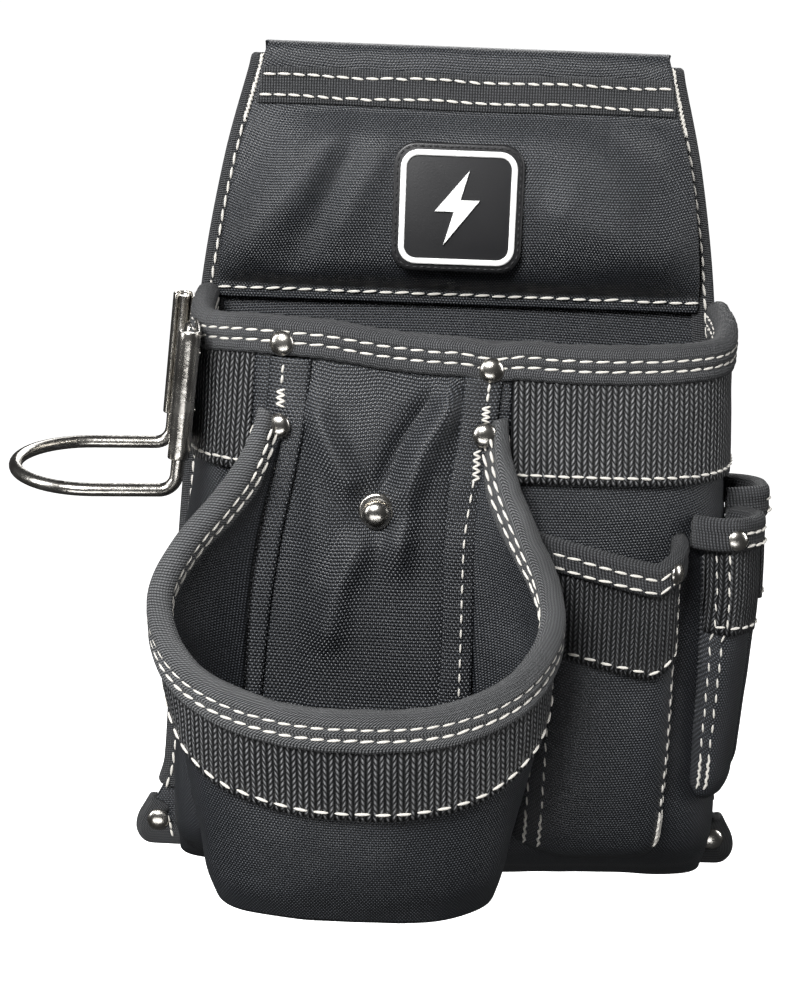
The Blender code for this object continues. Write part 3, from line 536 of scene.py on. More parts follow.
def tunnel(u, v):
    y, z = TUNNEL_RUN[round(v * TUNNEL_STEPS)]
    share = 2.0 * u - 1.0
    half = TUNNEL_HALF(z) if y < 41.0 else 75.0
    if y < 35.0 and z < 293.0:
        y += (35.2 - y) * (0.55 * abs(share) ** 7 + 0.10 * share * share)
        slack = min(1.0, (35.4 - y) / 8.0)
        spot = Vector((share * half, 0.0, z))
        y -= slack * tunnel_folds(spot.x, z)
        y += slack * (rough_cloth(spot, 42.0, 1.2) + rough_cloth(spot + Vector((9, 0, 40)), 17.0, 0.4))
        y = min(y, 35.2)
    return Vector((share * half, y, z))


tunnel_panel = cloth("tunnel_panel_cloth", 90, TUNNEL_STEPS, tunnel, 1.3, NYLON, "nylon", "tunnel_panel")
bm = bmesh.new()
for y, z, half, pitch in ((33.9, 224.4, 90.6, 6.0),):
    row = [Vector((half * (2.0 * n / 80.0 - 1.0), y + 0.3 * math.sin(n * 0.5), z)) for n in range(81)]
    add_seam(bm, [(p, Vector((0, -1, 0.25)).normalized()) for p in row], pitch, lean=0.06)
row = [Vector((73.0 * (2.0 * n / 60.0 - 1.0), 47.3, 289.0)) for n in range(61)]
add_seam(bm, [(p, Vector((0, 1, 0))) for p in row], 5.3)
seam_piece("tunnel_stitches", bm)


def herringbone(name, low, high, column=2.03, pitch=2.2, roughness=0.45):
    """Heavy webbing: upright columns of short thick floats, each column leaning against the next. Its colour
    is painted light: a painted highlight on the floats and painted shade between them.
    """
    web = Finish(name, high, roughness)
    x, y = web.measure()
    x = web.math("DIVIDE", x, column)
    side = web.math("MULTIPLY_ADD", web.math("PINGPONG", web.math("FLOOR", x), 1.0), 2.0, -1.0)
    part = web.math("SUBTRACT", web.math("FRACT", x), 0.5)
    lean = web.math("MULTIPLY", side, part)
    stagger = web.math("MULTIPLY", side, 0.25)
    run = web.math("ADD", web.math("DIVIDE", y, pitch), web.math("MULTIPLY_ADD", lean, 1.15, stagger))
    yarn = web.math("POWER", web.lobe(run), 0.8)
    ridge = web.math("POWER", web.lobe(x), 1.3)
    height = web.math("MULTIPLY", web.math("MULTIPLY_ADD", yarn, 0.85, 0.15), ridge)
    # The colour share is painted light: the floats get a painted highlight and the valleys between them
    # painted shade, under soft random patches.
    share = web.math("MULTIPLY", web.math("POWER", height, 2.3), web.math(
        "MULTIPLY_ADD", web.mottle(45.0), 0.7, 0.62))
    web.set(Base_Color=web.blend(share, low, high), Specular_IOR_Level=0.3)
    web.relief(height, 0.8)
    return web.material


# Low is the painted shade between the floats and high the painted highlight on them.
WEBBING = herringbone("herringbone_webbing", (0.0025, 0.0028, 0.0032), (0.20, 0.202, 0.208))
# Low is the painted shade between the ribs and high the painted highlight on them.
STRIP_WEB = ribbed_tape("strip_webbing", (0.004, 0.0045, 0.005), (0.070, 0.072, 0.076), pitch=1.0, slant=0.0)


def tunnel_strip(u, v):
    z = 292.4 + 13.4 * v
    x = (2.0 * u - 1.0) * (77.6 - 2.4 * v)
    return Vector((x, 33.9 + 0.25 * math.sin(u * 17.0) * math.sin(v * math.pi), z + 0.4 * math.sin(u * 9.0)))


cloth("tunnel_strip", 80, 8, tunnel_strip, 1.2, STRIP_WEB, "webbing", "tunnel_webbing_strip")
bm = bmesh.new()
for z in (295.4, 302.9):
    row = [Vector((77.0 * (2.0 * n / 60.0 - 1.0) * (1.0 - (z - 292.0) * 0.0022), 33.0,
                   z + 0.35 * math.sin(n * 0.32))) for n in range(61)]
    add_seam(bm, [(p, Vector((0, -1, 0))) for p in row], 5.3, lean=-0.08)
seam_piece("strip_stitches", bm)

# -------------------------------------------------------------------------------------------------
# Badge: a moulded rubber patch sewn to the tunnel panel, with a raised white frame and a bolt.

RUBBER = Finish("moulded_rubber", (0.010, 0.010, 0.011), 0.42)
RUBBER.relief(RUBBER.mottle(1500.0), 0.04)
WHITE_RUBBER = Finish("white_rubber", (0.80, 0.80, 0.79), 0.45)
WHITE_RUBBER.relief(WHITE_RUBBER.mottle(1200.0), 0.03)
BADGE_MIDDLE, BADGE_HALF = (-2.0, 258.0), (23.8, 23.3)


def rounded(half, radius, y, middle=BADGE_MIDDLE, count=7):
    points = []
    for quarter, (sx, sz) in enumerate(((1, 1), (-1, 1), (-1, -1), (1, -1))):
        for n in range(count):
            a = math.radians(90.0 * quarter + 90.0 * n / (count - 1))
            points.append(Vector((middle[0] + sx * (half[0] - radius) + radius * math.cos(a), y,
                                  middle[1] + sz * (half[1] - radius) + radius * math.sin(a))))
    return points


def moulded(name, outline, rise, finish, slot, node, bevel):
    """A flat moulding: its outline is raised towards the front and its edges are rounded."""
    bm = bmesh.new()
    face = bm.faces.new([bm.verts.new(p) for p in outline])
    made = bmesh.ops.extrude_face_region(bm, geom=[face])["geom"]
    fresh = [g for g in made if isinstance(g, bmesh.types.BMVert)]
    bmesh.ops.translate(bm, verts=fresh, vec=(0.0, -rise, 0.0))
    bmesh.ops.recalc_face_normals(bm, faces=bm.faces)
    front = min(v.co.y for v in bm.verts)
    rim = [e for e in bm.edges if all(abs(v.co.y - front) < 0.01 for v in e.verts)]
    bmesh.ops.bevel(bm, geom=rim, offset=bevel, segments=3, profile=0.5, affect="EDGES", material=-1)
    piece = add_piece(name, bm, finish, slot, node)
    piece.data.set_sharp_from_angle(angle=math.radians(50))
    return piece


moulded("badge_back", rounded(BADGE_HALF, 8.0, 22.8), 2.6, RUBBER.material, "rubber", "badge_base", 0.9)
bm = bmesh.new()


def frame_ring(u, v):
    a, c = FRAME_SECTION(v)
    around = rounded((BADGE_HALF[0] - 3.6, BADGE_HALF[1] - 3.6), 5.4, 0.0, count=9)
    n = len(around)
    spot = around[round(u * n) % n]
    out = (around[(round(u * n) + 1) % n] - around[round(u * n) - 1]).cross(Vector((0, 1, 0))).normalized()
    return Vector((spot.x, c, spot.z)) - out * a


FRAME_SECTION = contour([(-1.1, 20.3), (-1.1, 19.6), (-0.7, 19.2), (0.7, 19.2), (1.1, 19.6), (1.1, 20.3)])
add_cut(bm, 36, 12, frame_ring, middle=0.0, closed=True)
bmesh.ops.recalc_face_normals(bm, faces=bm.faces)
add_piece("badge_border", bm, WHITE_RUBBER.material, "badge_white", "badge_frame")
bolt = [(3.8, 13.6), (-8.4, -1.4), (-1.4, -1.4), (-4.8, -13.6), (7.9, 2.9), (0.9, 2.9)]
bolt = [Vector((BADGE_MIDDLE[0] + x, 20.2, BADGE_MIDDLE[1] + z)) for x, z in bolt]
moulded("badge_flash", bolt, 1.0, WHITE_RUBBER.material, "badge_white", "badge_bolt", 0.25)
bm = bmesh.new()
edge = rounded((BADGE_HALF[0] - 1.3, BADGE_HALF[1] - 1.3), 6.9, 20.15, count=12)
add_seam(bm, [(p, Vector((0, -1, 0))) for p in [*edge, edge[0]]], 2.6, share=0.72, width=0.6, lean=0.0)
BLACK_THREAD = Finish("black_thread", (0.012, 0.012, 0.013), 0.55)
BLACK_THREAD.relief(BLACK_THREAD.mottle(2500.0), 0.06)
add_piece("badge_stitches", bm, BLACK_THREAD.material, "rubber")

# -------------------------------------------------------------------------------------------------
# Main pocket: one wide wall of lined nylon round three sides, sewn to the back panel at its ends and
# to a base. In plan it is half a rounded rectangle, and its lower front turns in under the bag.

RIM = 215.5
WALL_BACK = 36.5
MAIN_HALF = through({2.5: 101.5, 70.0: 102.0, 130.0: 100.0, 172.0: 96.5, RIM: 94.5})
MAIN_FRONT = through({2.5: 19.0, 10.0: 6.0, 18.0: -10.0, 28.0: -22.0, 45.0: -29.0, 85.0: -33.0, 130.0: -33.5,
              172.0: -32.5, RIM: -31.5})
MOUTH_LIFT = through({0.0: 2.5, 0.5: -1.0, 1.0: 0.5, 1.3: 0.0, 1.7: -5.5, 2.2: -5.0, 2.7: -4.0, math.pi: 2.5})
SQUARENESS = 4.4


def signed_power(value, exponent):
    return math.copysign(abs(value) ** exponent, value)


def main_cut(t, z):
    """The wall's inner face at a plan angle from 0 at its left end to pi at its right end."""
    half, depth, k = MAIN_HALF(z), WALL_BACK - MAIN_FRONT(z), 2.0 / SQUARENESS
    lift = MOUTH_LIFT(t) * max(0.0, z - 168.0) / (RIM - 168.0)
    return Vector((2.0 - half * signed_power(math.cos(t), k),
                   WALL_BACK - depth * signed_power(math.sin(t), k), z + lift))


def main_out(t, z):
    along = main_cut(min(t + 0.01, math.pi), z) - main_cut(max(t - 0.01, 0.0), z)
    up = main_cut(t, min(z + 3.0, RIM)) - main_cut(t, max(z - 3.0, 2.5))
    return along.cross(up).normalized()


def main_spot(t, z, off):
    """A place that far outside the wall's inner face, with the slack of the cloth."""
    spot = main_cut(t, z)
    pinned = min(1.0, (WALL_BACK - spot.y) / 12.0)
    slack = rough_cloth(spot, 46.0, 1.5) + rough_cloth(spot + Vector((70.0, 0.0, 0.0)), 15.0, 0.35)
    return spot + main_out(t, z) * (off + slack * pinned)


def main_angle(x, z=RIM):
    return math.acos(-signed_power((x - 2.0) / MAIN_HALF(z), SQUARENESS / 2.0))


PLAN = [n * math.pi / 1600.0 for n in range(1601)]
PLAN_REACH = [0.0]
for a, b in zip(PLAN, PLAN[1:]):
    PLAN_REACH.append(PLAN_REACH[-1] + (main_cut(b, 130.0) - main_cut(a, 130.0)).length)


def angle_at(share):
    """The plan angle at a share of the way round the wall."""
    want, low, high = share * PLAN_REACH[-1], 0, len(PLAN) - 1
    while high - low > 1:
        mid = (low + high) // 2
        low, high = (mid, high) if PLAN_REACH[mid] <= want else (low, mid)
    s = (want - PLAN_REACH[low]) / max(PLAN_REACH[high] - PLAN_REACH[low], 1e-9)
    return PLAN[low] + s * (PLAN[high] - PLAN[low])


def share_at(t):
    k = min(int(t / math.pi * 1600.0), 1599)
    s = t / math.pi * 1600.0 - k
    return (PLAN_REACH[k] + s * (PLAN_REACH[k + 1] - PLAN_REACH[k])) / PLAN_REACH[-1]


def main_sheet(name, shares, heights, off, thickness, finish, slot, *nodes, grid=(120, 70), middle=0.5):
    def place(u, v):
        t = angle_at(shares[0] + u * (shares[1] - shares[0]))
        return main_spot(t, heights[0] + v * (heights[1] - heights[0]), off)

    bm = bmesh.new()
    add_cut(bm, *grid, place, middle)
    return thicken(add_piece(name, bm, finish, slot, *nodes), thickness, smooth=0)


main_sheet("main_pocket_cloth", (0.001, 0.999), (2.5, RIM), 0.8, 1.4, NYLON, "nylon", "main_pocket_wall",
           grid=(190, 100))


def main_floor(u, v):
    edge = main_spot(angle_at(0.004 + 0.992 * u), 2.5, 0.9)
    spot = Vector((2.0 + (edge.x - 2.0) * 0.99, 36.2, 2.5)).lerp(edge, v)
    return Vector((spot.x, spot.y, 2.4 + 0.5 * math.sin(v * math.pi) + 0.25 * noise.noise(spot / 14.0)))


cloth("main_pocket_foot", 70, 20, main_floor, 1.2, NYLON, "nylon", "main_pocket_base")

# -------------------------------------------------------------------------------------------------
# Reinforcing bands: heavy herringbone webbing round the main pocket below its mouth, in a left and a
# right length, each sewn along its lower edge.

PATCH_X = (-71.0, 18.0)
LEFT_END, RIGHT_END = share_at(main_angle(PATCH_X[0], 190.0)), share_at(main_angle(PATCH_X[1], 190.0))
main_sheet("main_band_cloth_left", (0.004, LEFT_END - 0.001), (168.5, 214.5), 2.9, 1.9, WEBBING, "webbing",
           "main_band_left", grid=(60, 20))
main_sheet("main_band_cloth_right", (RIGHT_END + 0.001, 0.996), (168.5, 214.5), 2.9, 1.9, WEBBING,
           "webbing", "main_band_right", grid=(110, 20))
bm = bmesh.new()
for first, last in ((0.03, LEFT_END - 0.006), (RIGHT_END + 0.008, 0.97)):
    row = [angle_at(first + (last - first) * n / 60.0) for n in range(61)]
    add_seam(bm, [(main_spot(t, 171.6, 4.0), main_out(t, 171.6)) for t in row], 4.9, lean=-0.08)
seam_piece("main_band_stitches", bm)

# -------------------------------------------------------------------------------------------------
# Backing panel: a plain piece of thick nylon let in between the bands, behind the scooped pouch. The
# centre rivet holds it to the wall, and it puckers between that and the two rivets at the mouth.

# Low is the painted shade between the yarns and high the painted highlight on the beads.
COARSE_NYLON = ballistic_nylon("coarse_nylon", (0.0025, 0.003, 0.004), (0.115, 0.122, 0.136), 0.40,
                               across=0.72, up=1.22, depth=0.45)
CENTRE_RIVET = (-27.2, 156.0)


def puckers(x, z):
    """How far the backing panel stands off the wall."""
    share = min(1.0, max(0.0, (x + 57.0) / 61.5))
    bulge = 2.6 * min(1.0, 6.5 * share * (1.0 - share)) ** 0.7
    folds = ridge(x, z, [(1.0, 207.0), (-12.0, 182.0), (-19.0, 158.0), (-20.0, 132.0)], 5.0, 3.2)
    folds += ridge(x, z, [(-52.0, 196.0), (-42.0, 176.0), (-34.0, 162.0)], 4.5, 2.0)
    folds += ridge(x, z, [(-30.0, 150.0), (-40.0, 128.0), (-44.0, 104.0)], 5.0, 2.0)
    folds -= ridge(x, z, [(-6.0, 205.0), (-20.0, 180.0), (-26.0, 162.0)], 4.0, 2.2)
    near = math.hypot(x - CENTRE_RIVET[0], z - CENTRE_RIVET[1])
    held = 1.0 - math.exp(-(near / 9.0) ** 2)
    held *= min(1.0, max(0.0, (211.0 - z) / 12.0)) * min(1.0, max(0.0, (z - 54.0) / 10.0))
    return max(0.0, (bulge + 1.6 * folds) * held * min(1.0, max(0.0, share * (1.0 - share) * 9.0)))


def backing(u, v):
    x, z = PATCH_X[0] + u * (PATCH_X[1] - PATCH_X[0]), 50.0 + v * 164.5
    return main_spot(main_angle(x, max(z, 100.0)), z, 2.5 + puckers(x, z))


bm = bmesh.new()
add_cut(bm, 72, 120, backing)
thicken(add_piece("backing_panel_cloth", bm, COARSE_NYLON, "nylon", "pouch_backing_panel"), 1.1, smooth=0)

# -------------------------------------------------------------------------------------------------
# Main pocket's mouth: grey tape rolled over a cord and the wall's edge, sewn through with two rows of
# thick thread, which draw it in between plump rolls.

# Low is the painted shade between the ribs and high the painted highlight on them.
SOFT_TAPE = ribbed_tape("grosgrain_tape", (0.007, 0.0075, 0.008), (0.100, 0.102, 0.107), pitch=0.85, slant=0.3)
ROLL = contour([(4.3, -5.9), (5.2, -5.4), (5.6, -3.8), (5.4, -2.3), (4.75, -1.2), (5.5, -0.2), (5.85, 0.6),
                (5.6, 1.5), (4.95, 2.3), (5.6, 3.1), (5.5, 4.6), (4.4, 6.5), (2.6, 7.6), (0.6, 7.7),
                (-1.4, 6.9), (-2.7, 5.4), (-3.2, 3.6), (-2.6, 2.3), (-3.1, 1.2), (-3.0, 0.0), (-2.5, -1.2),
                (-2.8, -2.6), (-2.7, -4.4), (-2.0, -5.5), (-1.2, -5.4), (-0.9, -2.0), (-0.3, 0.4),
                (3.9, 0.4), (4.2, -2.0)])
STITCH_ROWS = (2.3, -1.2)


def mouth_line(u):
    t = angle_at(0.0015 + 0.997 * u)
    out = main_out(t, RIM)
    out = Vector((out.x, out.y, 0.0)).normalized()
    place = main_spot(t, RIM, 0.0)
    ahead, behind = main_cut(min(t + 0.02, math.pi), RIM), main_cut(max(t - 0.02, 0.0), RIM)
    run = (ahead - behind).normalized()
    place.z -= 1.6 * math.exp(-((place.x - 10.6) / 7.0) ** 2) if place.y < -20.0 else 0.0
    return place, out, run.cross(out).normalized() * (-1.0 if run.cross(out).z < 0.0 else 1.0)


def rolled(u, v):
    spot, out, up = mouth_line(u)
    a, c = ROLL(v)
    swell = 1.0 + 0.035 * noise.noise(spot / 9.0) + 0.02 * math.sin(u * 400.0)
    return spot + out * (1.3 + (a - 1.3) * swell) + up * (1.0 + (c - 1.0) * swell)


bm = bmesh.new()
add_cut(bm, 220, 58, rolled, middle=0.0, closed=True)
close_ends(bm)
add_piece("mouth_roll", bm, SOFT_TAPE, "edge_tape", "main_rim_binding")
bm = bmesh.new()
row = [mouth_line(n / 260.0) for n in range(3, 258)]
for height, outside, inside in ((STITCH_ROWS[0], 5.05, -2.75), (STITCH_ROWS[1], 4.9, -2.65)):
    add_seam(bm, [(p + o * outside + w * height, o) for p, o, w in row], 5.8, lean=0.09)
    add_seam(bm, [(p + o * inside + w * height, -o) for p, o, w in row], 5.8, lean=0.09)
seam_piece("mouth_stitches", bm)

# -------------------------------------------------------------------------------------------------
# Scooped pouch: a nylon wall that stands out round like a bucket from two seam strips, low in front
# and rising steeply to a rivet at each side. Its foot is closed by a base.

FOOT_Z, LIP, NECK_TOP = 26.0, 101.5, 184.0
POUCH_MIDDLE = through({26.0: -30.0, 60.0: -30.5, 130.0: -32.3, 184.0: -26.3})
POUCH_NECK = through({26.0: 43.0, 60.0: 42.0, 105.0: 40.0, 184.0: 34.5})
POUCH_WIDEST = through({26.0: 48.5, 40.0: 51.5, 60.0: 54.5, 90.0: 60.5, 128.0: 65.0, 160.0: 56.0, 184.0: 43.0})
POUCH_FRONT = through({26.0: -86.0, 40.0: -96.0, 60.0: -104.0, 80.0: -108.0, 102.0: -111.0, 184.0: -111.0})
POUCH_SQUARE = through({26.0: 3.0, 60.0: 2.4, 102.0: 2.05, 184.0: 2.0})


def pouch_cut(s, z):
    """The pouch wall's inner face, s from 0 at its left seam to 1 at its right seam."""
    widest, neck, k = POUCH_WIDEST(z), POUCH_NECK(z), 2.0 / POUCH_SQUARE(z)
    start = math.asin(min((neck / widest) ** (1.0 / k), 1.0))
    back, front = MAIN_FRONT(z) - 4.2, POUCH_FRONT(z)
    depth = (back - front) / (1.0 + math.cos(start) ** k)
    angle = start + 2.0 * min(s, 1.0 - s) * (math.pi - start)
    x = widest * signed_power(math.sin(angle), k)
    return Vector((POUCH_MIDDLE(z) + (-x if s < 0.5 else x),
                   front + depth + depth * signed_power(math.cos(angle), k), z))


def pouch_mouth(s):
    return LIP + (NECK_TOP - LIP) * (1.0 - 2.0 * min(s, 1.0 - s)) ** 2.4


def pouch_at(s, z):
    return pouch_cut(min(max(s, 0.0), 1.0), z)


def pouch_out(s, z):
    h = 0.012
    along = pouch_at(s + h, z) - pouch_at(s - h, z)
    up = pouch_at(s, z + 2.0) - pouch_at(s, max(z - 2.0, FOOT_Z))
    return along.cross(up).normalized()


def pouch_spot(s, z, off):
    spot = pouch_at(s, z)
    pinned = min(1.0, 12.0 * min(s, 1.0 - s))
    slack = rough_cloth(spot + Vector((0.0, 300.0, 0.0)), 38.0, 1.8)
    slack += rough_cloth(spot + Vector((40.0, 300.0, 0.0)), 14.0, 0.45)
    return spot + pouch_out(s, z) * (off + slack * pinned)


def pouch_wall(u, v):
    return pouch_spot(u, FOOT_Z + v * (pouch_mouth(u) - FOOT_Z), 0.8)


bm = bmesh.new()
add_cut(bm, 150, 56, pouch_wall)
thicken(add_piece("pouch_cloth", bm, NYLON, "nylon", "pouch_wall"), 1.4, smooth=0)


def pouch_floor(u, v):
    edge = pouch_spot(u, FOOT_Z, 1.2)
    back = Vector((-30.0 + (edge.x + 30.0) * 0.98, -20.5, FOOT_Z))
    spot = back.lerp(edge, v)
    return Vector((spot.x, spot.y, 26.3 + 0.2 * noise.noise(spot / 12.0)))


cloth("pouch_foot", 60, 24, pouch_floor, 1.2, NYLON, "nylon", "pouch_base")


def pouch_band(u, v):
    s = 0.012 + 0.976 * u
    return pouch_spot(s, pouch_mouth(s) - 30.5 + 26.5 * v, 2.75)


bm = bmesh.new()
add_cut(bm, 130, 16, pouch_band)
thicken(add_piece("pouch_band_cloth", bm, WEBBING, "webbing", "pouch_band"), 1.7, smooth=0)


def lip_line(u):
    s = 0.0008 + 0.9984 * u
    z, h = pouch_mouth(s), 0.008
    place = pouch_spot(s, z, 0.0)
    run = pouch_at(s + h, pouch_mouth(min(s + h, 1.0))) - pouch_at(s - h, pouch_mouth(max(s - h, 0.0)))
    out = pouch_out(s, z)
    out = (out - run.normalized() * out.dot(run.normalized())).normalized()
    up = run.cross(out).normalized()
    end = max(0.0, 1.0 - min(u, 1.0 - u) / 0.06)
    place += Vector((-4.2 if u < 0.5 else 4.0, 1.0, 6.0)) * end * end
    return place, out, up if up.z > 0.0 else -up


def lip_roll(u, v):
    spot, out, up = lip_line(u)
    a, c = ROLL(v)
    swell = (1.0 + 0.04 * noise.noise(spot / 8.0)) * min(1.0, 0.6 + 9.0 * min(u, 1.0 - u))
    return spot + out * (1.3 + (a - 1.3) * swell) + up * (1.0 + (c - 1.0) * swell)


# Low is the painted shade between the ribs and high the painted highlight on them.
CORDED_TAPE = ribbed_tape("corded_tape", (0.005, 0.0055, 0.006), (0.150, 0.153, 0.158), pitch=1.1, slant=0.35)
bm = bmesh.new()
add_cut(bm, 220, 58, lip_roll, middle=0.0, closed=True)
close_ends(bm)
add_piece("lip_roll", bm, CORDED_TAPE, "edge_tape", "pouch_rim_binding")
bm = bmesh.new()
row = [lip_line(n / 260.0) for n in range(2, 259)]
for height, outside, inside in ((2.3, 5.05, -2.75), (-1.6, 5.0, -2.7)):
    add_seam(bm, [(p + o * outside + w * height, o) for p, o, w in row], 5.3, lean=0.1, width=1.05)
    add_seam(bm, [(p + o * inside + w * height, -o) for p, o, w in row], 5.3, lean=0.1, width=1.05)
seam_piece("lip_stitches", bm)
bm = bmesh.new()
row = []
for n in range(121):
    s = 0.02 + 0.96 * n / 120.0
    z = pouch_mouth(s) - 28.0
    row.append((pouch_spot(s, z, 3.75), pouch_out(s, z)))
add_seam(bm, row, 6.8, lean=-0.05, share=0.72)
seam_piece("pouch_band_stitches", bm)

# -------------------------------------------------------------------------------------------------
# Seam strips: two upright strips of coarse nylon which cover the pouch's side seams. Each has a run of
# long stitches, and a zigzag bartack over and under its corner rivet.


SEAM_X = {"left": through({30.0: -74.0, 62.0: -75.0, 109.0: -73.0, 143.0: -69.5, 170.0: -64.5, 190.0: -61.4,
                           209.0: -60.4}),
          "right": through({62.0: 4.4, 109.0: 4.0, 143.0: 3.6, 170.0: 6.2, 190.0: 8.7, 209.0: 10.2})}


def seam_strip(side, inner, outer):
    def strip(u, v):
        z = 30.0 + v * 178.9
        x = SEAM_X[side](z) + inner + u * (outer - inner)
        t = main_angle(x, max(z, 100.0))
        return main_spot(t, z, 4.1 + 0.6 * math.sin(u * math.pi) + 0.5 * math.sin(u * math.pi) * noise.noise(
            Vector((0.0, z / 16.0, inner))))

    bm = bmesh.new()
    add_cut(bm, 10, 110, strip)
    return thicken(add_piece(f"seam_strip_{side}", bm, COARSE_NYLON, "nylon", f"pouch_seam_strip_{side}"), 1.3,
                   smooth=0)


def strip_point(x, z, off=5.35):
    t = main_angle(x, max(z, 100.0))
    return main_spot(t, z, off), main_out(t, z)


def add_bartack(bm, x, top, bottom, width, count):
    """A dense zigzag that holds the end of a seam."""
    for n in range(count):
        z0 = top + (bottom - top) * n / count
        z1 = top + (bottom - top) * (n + 1) / count
        x0, x1 = (x - width / 2, x + width / 2) if n % 2 else (x + width / 2, x - width / 2)
        (a, out), (b, _) = strip_point(x0, z0), strip_point(x1, z1)
        add_stitch(bm, (a + b) / 2, b - a, out, (b - a).length * 1.12, 0.95, 0.7)


seam_strip("left", -4.6, 9.0)
seam_strip("right", -8.4, 4.2)
bm = bmesh.new()
for side in ("left", "right"):
    for z in (205.0, 201.4):
        spot, out = strip_point(SEAM_X[side](z), z)
        add_stitch(bm, spot, Vector((0.1, 0.0, 1.0)), out, 3.1)
    add_bartack(bm, SEAM_X[side](196.0), 198.0, 191.8, 2.8, 6)
    add_bartack(bm, SEAM_X[side](175.0), 181.0, 169.0, 2.6, 9)
    for n in range(15):
        z = 168.0 - 5.4 * n
        x = SEAM_X[side](z)
        (spot, out), (ahead, _) = strip_point(x, z), strip_point(SEAM_X[side](z + 2.0), z + 2.0)
        add_stitch(bm, spot, ahead - spot, out, 3.5, 0.85)
seam_piece("strip_seams", bm)

# -------------------------------------------------------------------------------------------------
# Tool pockets: three strips of nylon on the pouch's right, sewn down along both sides and bowed out
# between them, each with webbing and a folded tape at its mouth.


# Low is the painted shade between the floats and high the painted highlight on them.
DARK_WEB = herringbone("dark_webbing", (0.003, 0.0032, 0.0036), (0.095, 0.097, 0.102), column=1.7, pitch=1.9)
# Low is the painted shade between the ribs and high the painted highlight on them.
DARK_TAPE = ribbed_tape("dark_tape", (0.003, 0.0032, 0.0036), (0.060, 0.062, 0.066), pitch=1.2, slant=0.2)


def add_tool_pocket(name, node, t_range, foot, mouth, bow, side_rows):
    def top(s):
        left, low, right = mouth
        return low + (left - low) * max(0.0, 1.0 - s / 0.7) ** 1.3 + (right - low) * max(0.0, s - 0.7) / 0.3

    def point(s, z, off):
        t = t_range[0] + s * (t_range[1] - t_range[0])
        fall = (z - foot) / (mouth[1] - foot)
        out = bow * (0.45 + 0.55 * min(fall, 1.0)) * (1.0 - abs(2.0 * s - 1.0) ** 5)
        corner = 4.0 * max(0.0, 1.0 - (z - foot) / 9.0) ** 2
        return main_spot(t, z, 2.4 + max(0.0, out - corner * 0.6) + off)

    def out_at(s, z):
        side = point(min(s + 0.03, 1.0), z, 0.0) - point(max(s - 0.03, 0.0), z, 0.0)
        rise = point(s, z + 3.0, 0.0) - point(s, z - 3.0, 0.0)
        return side.cross(rise).normalized()

    def wall(u, v):
        round_foot = foot + 7.0 * abs(2.0 * u - 1.0) ** 8
        return point(u, round_foot + v * (top(u) - round_foot), 0.7)

    def band(u, v):
        return point(u, top(u) - 40.0 + 39.0 * v, 2.4)

    bm = bmesh.new()
    add_cut(bm, 44, 50, wall)
    thicken(add_piece(f"{name}_cloth", bm, NYLON, "nylon", f"{node}_wall"), 1.3, smooth=0)
    bm = bmesh.new()
    add_cut(bm, 44, 18, band)
    thicken(add_piece(f"{name}_band", bm, DARK_WEB, "webbing", f"{node}_band"), 1.7, smooth=0)
    fold = contour([(4.5, -9.6), (5.0, -9.4), (5.2, -5.0), (4.7, -3.4), (5.2, -2.0), (5.0, 0.6), (3.9, 2.0),
                    (2.2, 2.4), (0.4, 1.6), (-0.7, 0.0), (-0.9, -4.0), (-0.7, -8.6), (-0.2, -8.6),
                    (0.0, -1.0), (0.6, 0.4), (3.2, 0.6), (3.7, -1.0), (4.0, -9.4)])

    def hem(u, v):
        spot, out = point(u, top(u), 0.0), out_at(u, top(u) - 1.0)
        a, c = fold(v)
        return spot + out * a + Vector((0.0, 0.0, c))

    bm = bmesh.new()
    add_cut(bm, 50, 36, hem, middle=0.0, closed=True)
    close_ends(bm)
    add_piece(f"{name}_hem", bm, DARK_TAPE, "edge_tape", f"{node}_edge_tape")
    bm = bmesh.new()
    row = [0.03 + 0.94 * n / 40.0 for n in range(41)]
    for drop, off in ((3.2, 4.9), (7.8, 5.2)):
        add_seam(bm, [(point(s, top(s) - drop, off), out_at(s, top(s) - drop)) for s in row], 5.6, lean=0.08)
    add_seam(bm, [(point(s, top(s) - 37.5, 3.4), out_at(s, top(s) - 37.5)) for s in row], 6.0, share=0.7)
    for s in side_rows:
        rows = [foot + 14.0 + (top(s) - foot - 24.0) * n / 30.0 for n in range(31)]
        lift = [3.5 if z > top(s) - 40.0 else 1.6 for z in rows]
        add_seam(bm, [(point(s, z, a), out_at(s, z)) for z, a in zip(rows, lift)], 5.8, share=0.62, width=0.8)
        for n in range(7):
            z = foot + 6.0 + 1.5 * n
            add_stitch(bm, point(s, z, 1.6), Vector((0.3 * (-1) ** n, 0, 1)), out_at(s, z), 3.6, 0.9, 0.7)
    seam_piece(f"{name}_stitches", bm)
    return point, out_at, top


front_tool = add_tool_pocket("front_tool", "front_tool_pocket",
                             (main_angle(26.0, 100.0), main_angle(79.0, 100.0)), 30.0,
                             (151.0, 141.5, 149.0), 12.0, (0.035, 0.085, 0.93, 0.975))
side_tool = add_tool_pocket("side_tool", "side_tool_pocket", (2.36, 2.82), 50.0, (155.0, 153.0, 153.5), 11.0,
                            (0.05, 0.13, 0.95))
rear_tool = add_tool_pocket("rear_tool", "rear_tool_pocket", (2.90, 3.10), 52.0, (160.0, 159.0, 160.0), 11.0,
                            (0.06, 0.94))

# -------------------------------------------------------------------------------------------------
# Hammer holder: a plate of bright nickel-plated steel on the pouch's left, with both upright edges
# rolled round the legs of a bent wire loop.

